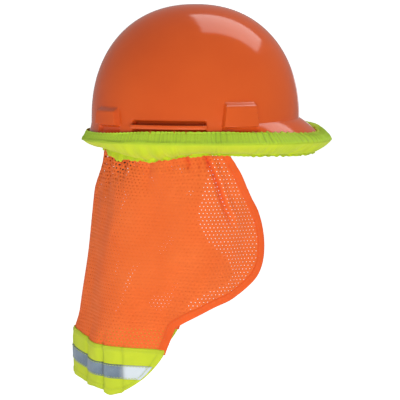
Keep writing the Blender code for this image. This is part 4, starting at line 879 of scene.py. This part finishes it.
def net_cells():
    """Centres of the drape's holes as (arc, drop) inside its outline, with the turn for an arc."""
    turns = np.linspace(-NET_TURN, NET_TURN, 2001)
    rate = np.hypot(NET_LENGTH * np.sin(turns), NET_WIDTH * np.cos(turns))
    arcs = np.concatenate([[0], np.cumsum((rate[1:] + rate[:-1]) / 2 * np.diff(turns))])
    arcs -= np.interp(0.0, turns, arcs)
    column, row = np.meshgrid(np.arange(-NET_COLUMNS, NET_COLUMNS + 1),
                              np.arange(int((DRAPE_LENGTH + 0.01) / HOLE_ROW)))
    drop = NET_TOP + row * HOLE_ROW
    arc = (column + 0.5 * (row % 2)) * HOLE_PITCH
    turn = np.interp(arc, arcs, turns)
    edge = np.where(turn > 0, edge_turn(1, drop), edge_turn(-1, drop))
    inside = np.abs(turn) < edge - NET_UNDER_BINDING / CLOTH_RADIUS
    inside &= drop < seam_drop(turn) + NET_UNDER_TAIL
    high, rear = 1 - smooth(0.010, 0.075, drop), 1 - smooth(0.70, 1.25, np.abs(turn))
    cells = np.stack([row, 2 * column + row % 2, arc, drop, 1 + HOLE_STRETCH * high * rear], -1)[inside]
    return cells, arcs, turns


def add_drape():
    """Perforated cloth: one six-sided cell with a hole for each place in the pattern, closed all round."""
    cells, arcs, turns = net_cells()
    wide, tall = HOLE_PITCH / 2, HOLE_ROW / 2 + HOLE_PITCH ** 2 / (8 * HOLE_ROW)
    short = HOLE_ROW - tall
    corners = ((0, tall), (-wide, short), (-wide, -short), (0, -tall), (wide, -short), (wide, short))
    keys = ((0, 2), (-1, 1), (-1, -1), (0, -2), (1, -1), (1, 1))
    known, flat, thick, quads, edges = {}, [], [], [], {}
    for row, column, arc, drop, grow in cells.tolist():
        ring, hole = [], []
        for (x, y), (key_x, key_y) in zip(corners, keys):
            key = (column + key_x, 3 * row + key_y)
            if key not in known:
                known[key] = len(flat)
                flat.append((arc + x, drop + y))
                thick.append(NET_HALF)
            ring.append(known[key])
        for x, y in corners:
            hole.append(len(flat))
            flat.append((arc + x * grow * HOLE_WIDTH / wide, drop + y * grow * HOLE_HEIGHT / tall))
            thick.append(HOLE_EDGE_HALF)
        for k in range(6):
            n = (k + 1) % 6
            quads.append((ring[k], ring[n], hole[n], hole[k]))
            if edges.pop((ring[n], ring[k]), None) is None:
                edges[ring[k], ring[n]] = True
    flat, quads, thick = np.array(flat), np.array(quads), np.array(thick)[:, None]
    count = len(flat)
    middle, normal = cloth(np.interp(flat[:, 0], arcs, turns), flat[:, 1])
    verts = np.concatenate([middle + normal * thick, middle - normal * thick])
    walls = np.stack([quads[:, 3], quads[:, 2], quads[:, 2] + count, quads[:, 3] + count], -1)
    rims = np.array([(b, a, a + count, b + count) for a, b in edges])
    faces = np.concatenate([quads, quads[:, ::-1] + count, walls, rims])
    places = flat[faces % count]
    bake = (places - flat.min(0)) / np.ptp(flat, 0)
    on_back = (faces >= count).all(1)
    bake[..., 1] = bake[..., 1] * 0.49 + np.where(on_back, 0.505, 0.0)[:, None]
    mesh = make_mesh(verts, faces, places, bake * 0.98 + 0.01)
    return make_object("mesh_drape", mesh, "orange_net", "shell", "drape", slot="mesh_fabric")


# Hems, tail and stitches

HEM_STATIONS, HEM_AROUND, HEM_HALF, HEM_OVERHANG = 200, 20, 0.00125, 0.0005
HEM_STITCH_SHARE, HEM_STITCH_LIFT = 0.72, 0.0011
TAIL_COLUMNS, TAIL_ROWS, TAPE_ROWS, TAIL_TOP, TAPE_END = 260, 40, 16, -0.0035, 0.985
TAIL_HALF, TAIL_HEM_HALF, TAIL_SEAM_HALF, TAIL_OVER = 0.0005, 0.0006, 0.0005, 0.0010
TAPE_BACK, TAPE_FRONT, TAPE_PUFF, TAPE_OVER_HEM = 0.00060, 0.00095, 0.0002, 0.0006
# The last pair gives the turns in degrees over which the tape's painted reflection comes in.
TIP_DROP, TIP_RISE, TAPE_REFLECTION_TURN = 0.0038, 0.0020, (58.5, 62.5)
STITCH_END, STITCH_SIDE, STITCH_LIFT, STITCH_IN_TAPE = 0.96, 0.955, 0.0013, 0.0014
STITCH_LENGTH, STITCH_GAP, STITCH_RADIUS, STITCH_AROUND = 0.0026, 0.0010, 0.00028, 6
STITCH_SHARES = np.array([0.0, 0.12, 0.5, 0.88, 1.0])
STITCH_SWELL = np.array([0.25, 0.85, 1.0, 0.85, 0.25])[:, None, None]


def edge_frame(side):
    """(turn, drop) down a free edge at even steps, the inward direction in flat metres, and the length."""
    drop = np.linspace(-0.003, DRAPE_LENGTH + 0.002, 1600)
    turn = side * edge_turn(side, np.clip(drop, 0, DRAPE_LENGTH))
    path = np.stack([turn * CLOTH_RADIUS, drop], -1)
    run = run_along(path)
    path = at_run(path, run, np.linspace(0, run[-1], HEM_STATIONS))
    for k in range(2):
        path[2:-2, k] = np.convolve(path[:, k], np.ones(5) / 5, "valid")
    along = unit(np.gradient(path, axis=0))
    return path, np.stack([-along[:, 1], along[:, 0]], -1) * side, run[-1]


def add_binding(name, side):
    """Hem folded round a free edge with stitching pressed in, and the line of the stitches."""
    path, inward, length = edge_frame(side)

    def on_edge(reach, lift):
        spot = path + inward * (reach - HEM_OVERHANG)
        return cloth(spot[:, 0] / CLOTH_RADIUS, spot[:, 1], lift)

    rings = []
    for across, over in zip(*flat_section(HEM_AROUND, 0.35, 0.5)):
        share = 0.5 - 0.5 * across
        pressed = 1 - 0.35 * bell(share, HEM_STITCH_SHARE, 0.07)
        wave = 1 + 0.12 * np.sin(np.arange(HEM_STATIONS) * 0.9) * bell(share, 0.4, 0.3)
        rings.append(on_edge(share * BINDING_WIDTH, HEM_HALF * over * pressed * wave)[0])
    mesh = loop_mesh(rings if side < 0 else rings[::-1], (length, 2 * BINDING_WIDTH))
    hem = make_object(f"{name}_hem", mesh, "orange_hem", "shell", f"{name}_edge_binding", slot="hem_fabric")
    return hem, on_edge(HEM_STITCH_SHARE * BINDING_WIDTH, HEM_STITCH_LIFT)


def tail_turn(across, below):
    """Turn at a place across the tail, from -1 at its left edge to 1, and a distance below its seam."""
    trail = edge_trail(TAIL_EDGE, TAIL_LENGTH, 300)
    return across * np.interp(np.maximum(below, 0.0), *trail.T)


def tail_place(across, below, lift):
    turn = tail_turn(across, below)
    away = np.degrees(np.abs(turn))
    tip = TIP_DROP * bell(away, 53.5, 4.5) - TIP_RISE * bell(away, 40, 6)
    return cloth(turn, seam_drop(turn) + below + tip * smooth(0.7, 1.0, below / TAIL_LENGTH), lift)


def tail_creases(across, below, spread):
    """1 in the bottom of the deepest creases, 0 away from them."""
    degrees = np.degrees(tail_turn(across, below))
    deepest = max(depth for middle, depth in TAIL_CREASES)
    return sum(depth / deepest * bell(degrees, middle, spread) for middle, depth in TAIL_CREASES)


def add_tail():
    """Tail cloth and tape, with the lines of their stitches."""
    across = np.linspace(-1, 1, TAIL_COLUMNS)[:, None]
    below = np.linspace(TAIL_TOP, TAIL_LENGTH, TAIL_ROWS)[None, :]
    seam = bell(below, -0.0005, 0.0022)
    hem = smooth(TAIL_LENGTH - 0.007, TAIL_LENGTH - 0.005, below)
    side = smooth(0.955, 0.965, np.abs(across))
    half = TAIL_HALF + TAIL_HEM_HALF * np.maximum(hem, side) + TAIL_SEAM_HALF * seam
    over = TAIL_OVER * (1 - smooth(-0.001, 0.006, below))
    front, back = (tail_place(across, below, lift)[0] for lift in (half + over, over - half))
    width = run_along(tail_place(across[:, 0], TAIL_TOP, 0.0)[0])[-1]
    # Painted shade in the tail's creases, along its top seam and at its hem fold.
    crease_shade = 0.5 * tail_creases(across, below, 1.1) + 0.35 * seam + 0.3 * bell(hem, 0.5, 0.3)
    values = {"painted_light_zone": 1.0, "crease_shade": np.clip(crease_shade, 0, 1)}
    mesh = sheet_mesh(front, back, (width, TAIL_LENGTH), values=values)
    tail = make_object("tail_cloth", mesh, "lime_tail", "shell", "tail_panel", slot="lime_fabric")

    across = across * TAPE_END
    below = np.linspace(TAPE_BELOW_SEAM, TAPE_BELOW_SEAM + TAPE_WIDTH, TAPE_ROWS)[None, :]
    puff = TAPE_PUFF * np.sin(np.linspace(0, math.pi, TAPE_ROWS))[None, :] ** 0.4
    side = smooth(0.94, 0.965, np.abs(across)) * TAPE_OVER_HEM
    lifts = (TAPE_FRONT + puff + side, TAPE_BACK + side)
    front, back = (tail_place(across, below, lift)[0] for lift in lifts)
    # Painted reflection: 1 at both ends of the tape, past the given turns, where it turns towards the sides;
    # the right end faces the camera.
    painted_light_zone = smooth(*TAPE_REFLECTION_TURN, np.abs(np.degrees(tail_turn(across, below))))
    # Painted shade in the tape's creases.
    values = {"painted_light_zone": painted_light_zone, "crease_shade": np.clip(tail_creases(across, below, 1.5), 0, 1)}
    mesh = sheet_mesh(front, back, (width, TAPE_WIDTH), values=values)
    stripe = make_object("reflective_stripe", mesh, "reflective_silver", "shell", "reflective_tape",
                         slot="reflective_fabric")

    line = np.linspace(-STITCH_END, STITCH_END, 400)
    tape_low = TAPE_BELOW_SEAM + TAPE_WIDTH - STITCH_IN_TAPE
    rows = [(0.0012, STITCH_LIFT), (TAPE_BELOW_SEAM + STITCH_IN_TAPE, STITCH_LIFT), (tape_low, STITCH_LIFT),
            (TAIL_LENGTH - 0.0055, 0.0009)]
    seams = [tail_place(line, at, lift) for at, lift in rows]
    line = np.linspace(0.003, TAIL_LENGTH - 0.004, 120)
    on_tape = np.abs(line - TAPE_BELOW_SEAM - TAPE_WIDTH / 2) < TAPE_WIDTH / 2
    for side in (-STITCH_SIDE, STITCH_SIDE):
        seams.append(tail_place(side, line, STITCH_LIFT + TAPE_OVER_HEM * on_tape))
    return tail, stripe, seams


def add_stitches(name, seams, look, slot):
    """Short threads laid along each seam of (points, normals)."""
    verts, faces = [], []
    angle = math.tau * np.arange(STITCH_AROUND)[:, None] / STITCH_AROUND
    arch = STITCH_RADIUS * (0.9 * np.sin(STITCH_SHARES * math.pi) - 0.5)
    thread = loop_faces(len(STITCH_SHARES), STITCH_AROUND)
    for points, normals in seams:
        run = run_along(points)
        for start in np.arange(0.0, run[-1] - STITCH_LENGTH, STITCH_LENGTH + STITCH_GAP):
            at = start + STITCH_SHARES * STITCH_LENGTH
            up = unit(at_run(normals, run, at))
            spine = at_run(points, run, at) + up * arch[:, None]
            aside = unit(np.cross(unit(np.gradient(spine, axis=0)), up))
            ring = aside[:, None] * np.cos(angle) * 1.3 + up[:, None] * np.sin(angle)
            first = len(verts)
            verts.extend((spine[:, None] + STITCH_RADIUS * STITCH_SWELL * ring).reshape(-1, 3))
            faces.extend([first + corner for corner in face] for face in thread)
    return make_object(name, make_mesh(verts, faces), look, "shell", slot=slot)


# Suspension

PAD_AROUND, SWEATBAND_STATIONS, NAPE_PAD_STATIONS, STRAP_STATIONS, STRAP_AROUND = 24, 220, 120, 60, 20
SWEATBAND_GAP, SWEATBAND_OVERLAP, CROWN_PAD_GAP = 0.0004, 0.001, 0.0003
KEY_GAP, HUB_GAP = 0.0003, 0.0004
FINE_BEVEL, KNOB_BEVEL, BEVEL_ANGLE, WELD_DISTANCE = 0.0003, 0.0008, math.radians(42), 0.00001


def headband_plan(turn, offset):
    def on_line(angle):
        x = signed_power(np.cos(angle), 2 / HEADBAND_POWER)
        y = signed_power(np.sin(angle), 2 / HEADBAND_POWER)
        return np.stack([HEADBAND_CENTRE + HEADBAND_LENGTH / 2 * x, HEADBAND_WIDTH / 2 * y], -1)
    along = unit(on_line(turn + 0.001) - on_line(turn - 0.001))
    outwards = np.stack([along[..., 1], -along[..., 0]], -1)
    return on_line(turn) + outwards * np.asarray(offset)[..., None]


def sewn(turn, pitch, width):
    """1 along sewn channels at this pitch, 0 between them."""
    return np.exp(-((turn / pitch + 0.5) % 1.0 - 0.5) ** 2 / width)


def pad_rings(turn, fade, channel, base, crown, end_crown, end_height):
    """(thickness, height from -1 to 1) round a pad that is flat behind and crowned in front."""
    ends = np.clip((turn[-1] - np.abs(turn)) / fade, 0, 1) ** 0.5
    for height, share in zip(*flat_section(PAD_AROUND, 0.5, 0.7)):
        thick = base + crown * share * lerp(end_crown, 1.0, ends) * channel
        yield thick if share > 0 else 0 * turn, height * lerp(end_height, 1.0, ends)


def add_pad(name, mesh, body, node):
    pad = make_object(name, mesh, "grey_foam", body, node, slot="foam")


def add_sweatband():
    """Foam strip crowned towards the brow, with sewn channels across it."""
    turn = np.linspace(-SWEATBAND_END, SWEATBAND_END, SWEATBAND_STATIONS)
    rear = smooth(HEADBAND_RISE_START, HEADBAND_RISE_END, np.abs(turn))
    low = lerp(HEADBAND_FRONT_LOW, HEADBAND_REAR_LOW, rear) - SWEATBAND_OVERLAP
    high = HEADBAND_TOP + SWEATBAND_OVERLAP
    channel = 1 - 0.55 * sewn(turn, math.radians(9.5), 0.006)
    rings = []
    for thick, height in pad_rings(turn, 0.05, channel, 0.0005, SWEATBAND_THICKNESS - 0.0007, 0.35, 0.82):
        inset = HEADBAND_WALL / 2 + SWEATBAND_GAP + thick
        rings.append(raised(headband_plan(turn, -inset), lerp(low, high, 0.5 + 0.5 * height)))
    add_pad("sweatband_pad", loop_mesh(rings, (0.24, 0.06)), "suspension", "sweatband")


def add_nape_pad():
    turn = np.linspace(-NAPE_PAD_ANGLE, NAPE_PAD_ANGLE, NAPE_PAD_STATIONS)
    channel = 1 - 0.5 * sewn(turn, math.radians(9), 0.008)
    matrix = np.array(Matrix.Translation(NAPE_CENTRE) @ Matrix.Rotation(-NAPE_TILT, 4, "Y"))
    rings = []
    for thick, height in pad_rings(turn, 0.09, channel, 0.0004, NAPE_PAD_THICKNESS - 0.0006, 0.3, 0.7):
        radius = NAPE_PAD_RADIUS - thick
        spot = np.stack([-radius * np.cos(turn), radius * np.sin(turn), NAPE_PAD_HEIGHT / 2 * height], -1)
        rings.append(spot @ matrix[:3, :3].T + matrix[:3, 3])
    add_pad("nape_cushion", loop_mesh(rings[::-1], (0.07, 0.045)), "nape", "nape_pad")


def add_crown_pad():
    """Round pad under the hub, crowned below, with sewn spokes and a dimple."""
    top = CROWN_HEIGHT - HUB_THICKNESS - CROWN_PAD_GAP
    angle = np.linspace(0, math.tau, 96, endpoint=False)[:, None]
    turn = np.linspace(0.0005, math.pi / 2, 22)[None, :]
    radius = CROWN_PAD_RADIUS * np.sin(turn) ** 0.8
    spoke = sewn(angle, math.radians(45), 0.004)
    puff = 1 - 0.30 * spoke * smooth(0.15, 0.5, radius / CROWN_PAD_RADIUS)
    dimple = 1 - 0.35 * bell(radius, 0.0, 0.004)
    depth = CROWN_PAD_THICKNESS * np.cos(turn) ** 0.55 * puff * dimple
    plan = np.stack([radius * np.cos(angle), radius * np.sin(angle)], -1)
    under, above = raised(plan, top - 0.0004 - depth * 0.95), raised(plan, top)
    add_pad("crown_cushion", sheet_mesh(under, above, (0.16, 0.03), True), "suspension", "crown_pad")


def add_crown_straps():
    """Webbing with thicker selvedges, bent from each key up to the hub."""
    turn = np.linspace(0, math.pi / 2, STRAP_STATIONS)
    hub_edge = HUB_RADIUS + HUB_GAP + STRAP_THICKNESS / 2
    for kind, (angle, width, top) in zip(("front", "rear"), LUGS):
        low = top - POCKET_BELOW_TOP - KEY_FIT - KEY_BLADE + KEY_GAP + STRAP_THICKNESS / 2
        height = lerp(low, CROWN_HEIGHT - HUB_THICKNESS / 2, np.sin(turn))
        for side, way in (("right", -1), ("left", 1)):
            foot = dome_plan(way * angle, -POCKET_INSET - KEY_THICKNESS - STRAP_SET_BACK)
            reach = float(np.linalg.norm(foot))
            outwards = foot / reach
            across = np.array([-outwards[1], outwards[0], 0.0])
            spine = raised(outwards * lerp(hub_edge, reach, np.cos(turn))[:, None], height)
            up = unit(np.cross(across[None, :], np.gradient(spine, axis=0)))
            rings = []
            for x, y in zip(*flat_section(STRAP_AROUND, 0.3, 0.5)):
                edge = 1 + 0.18 * bell(abs(x), 0.86, 0.08)
                rings.append(spine + across * (x * STRAP_WIDTH / 2) + up * (y * STRAP_THICKNESS / 2 * edge))
            name = f"{kind}_{side}"
            mesh = loop_mesh(rings, (0.11, 2 * STRAP_WIDTH))
            make_object(f"{name}_strap", mesh, "black_webbing", "suspension", f"{name}_crown_strap",
                        slot="webbing")


def finish_nodes():
    """Materials and softened edges for the rigid nodes that stay."""
    metal = ["click_ring", "left_pivot_pin", "pinion", "right_pivot_pin"]
    kept = ["headband", "crown_hub", "right_nape_arm", "left_nape_arm", "right_rack", "left_rack",
            "ratchet_housing", "ratchet_cover", "ratchet_knob"]
    kept += [f"{kind}_{side}_key" for kind in ("front", "rear") for side in ("right", "left")]
    for name in kept + metal:
        node = NODES[name]
        node.data.materials.clear()
        node.data.materials.append(LOOKS["steel" if name in metal else "black_plastic"])
        modify(node, "WELD", merge_threshold=WELD_DISTANCE)
        modify(node, "BEVEL", width=KNOB_BEVEL if name == "ratchet_knob" else FINE_BEVEL, segments=2,
               limit_method="ANGLE", angle_limit=BEVEL_ANGLE, harden_normals=False)


# Stage

CAMERA_AZIMUTH, CAMERA_ELEVATION = math.radians(5), math.radians(6.5)
CAMERA_DISTANCE, CAMERA_LENS, CAMERA_SENSOR = 2.0, 152.54, 36.0
TARGET_RIGHT, TARGET_DOWN = 0.00555, 0.07434
WORLD_STRENGTH, BACKDROP_GLOW, WHITE = 0.34, 0.75, (1.0, 1.0, 1.0, 1.0)
FLOOR_FAR, WALL_BACK, WALL_HALF, WALL_HEIGHT, FLOOR_BELOW = 4.5, 4.0, 1.3, 0.83, 0.30
LIGHTS = (  # name, place, target, size, power, spin in degrees, shown in reflections
    ("soft_box", (0.70, 0.435, 1.33), (0.70, 0.435, 0.0), (1.5, 0.91), 14.5, 16.7, True),
    ("front_light", (0.30, -1.6, -0.50), (0.0, 0.0, 0.0), (1.6, 0.9), 28.5, 0.0, False),
    ("side_light", (-1.5, -0.6, -0.45), (0.0, 0.0, 0.0), (1.0, 0.8), 6.5, 0.0, False),
)


def aim(thing, place, target):
    thing.location = place
    thing.rotation_mode = "QUATERNION"
    thing.rotation_quaternion = (Vector(target) - Vector(place)).to_track_quat("-Z", "Y")


def add_camera():
    level = math.cos(CAMERA_ELEVATION)
    back = Vector((math.sin(CAMERA_AZIMUTH) * level, -math.cos(CAMERA_AZIMUTH) * level,
                   math.sin(CAMERA_ELEVATION)))
    right = Vector((math.cos(CAMERA_AZIMUTH), math.sin(CAMERA_AZIMUTH), 0.0))
    target = right * TARGET_RIGHT - back.cross(right) * TARGET_DOWN
    camera = new_object("camera", bpy.data.cameras.new("camera"))
    camera.data.sensor_width = CAMERA_SENSOR
    camera.data.lens = CAMERA_LENS
    aim(camera, target + back * CAMERA_DISTANCE, target)
    bpy.context.scene.camera = camera


def add_lights():
    for name, place, target, size, power, spin, mirrored in LIGHTS:
        data = bpy.data.lights.new(name, "AREA")
        data.shape = "RECTANGLE"
        data.size, data.size_y = size
        data.energy = power
        light = new_object(name, data)
        light.visible_glossy = mirrored
        aim(light, place, target)
        turn = Quaternion((0.0, 0.0, 1.0), math.radians(spin))
        light.rotation_quaternion = light.rotation_quaternion @ turn


def add_stage():
    """World, and a floor and wall that glow to camera, mirror and glass rays only."""
    scene = bpy.context.scene
    scene.view_settings.view_transform = "Standard"
    scene.world = bpy.data.worlds.new("studio")
    scene.world.use_nodes = True
    shade = scene.world.node_tree.nodes["Background"]
    shade.inputs["Color"].default_value = WHITE
    shade.inputs["Strength"].default_value = WORLD_STRENGTH

    look = Look("pale_backdrop", (0.86, 0.86, 0.86, 1.0),
                (("noise", 3.0, 2.0), 0.0, 1.0, 1.0, (0.88, 0.88, 0.88, 1.0)),
                Roughness=1.0, Emission_Color=WHITE)
    seen = 0.0
    for ray in ("Is Camera Ray", "Is Glossy Ray", "Is Transmission Ray"):
        seen = look.math("MAXIMUM", seen, look.add("ShaderNodeLightPath", ray))
    look.feed(look.shader, "Emission Strength", look.math("MULTIPLY", seen, BACKDROP_GLOW))
    far, back, half, low = FLOOR_FAR, WALL_BACK, WALL_HALF, CAD_BOX[0].z - FLOOR_BELOW
    high = low + WALL_HEIGHT
    corners = [(-far, -far, low), (far, -far, low), (far, back, low), (-far, back, low),
               (-half, back, low), (half, back, low), (half, back, high), (-half, back, high)]
    mesh = bpy.data.meshes.new("floor")
    mesh.from_pydata(corners, [], [(0, 1, 2, 3), (4, 5, 6, 7)])
    mesh.materials.append(LOOKS["pale_backdrop"])
    new_object("floor", mesh)


def main():
    add_camera()
    add_stage()
    add_lights()
    make_looks()
    add_shell()
    casing = add_casing()
    drape = add_drape()
    right_hem, right_seam = add_binding("right", 1)
    left_hem, left_seam = add_binding("left", -1)
    tail, stripe, tail_seams = add_tail()
    hem_stitches = add_stitches("hem_stitches", [right_seam, left_seam], "orange_thread", "hem_fabric")
    tail_stitches = add_stitches("tail_stitches", tail_seams, "lime_thread", "lime_fabric")

    add_sweatband()
    add_nape_pad()
    add_crown_pad()
    add_crown_straps()
    finish_nodes()


main()
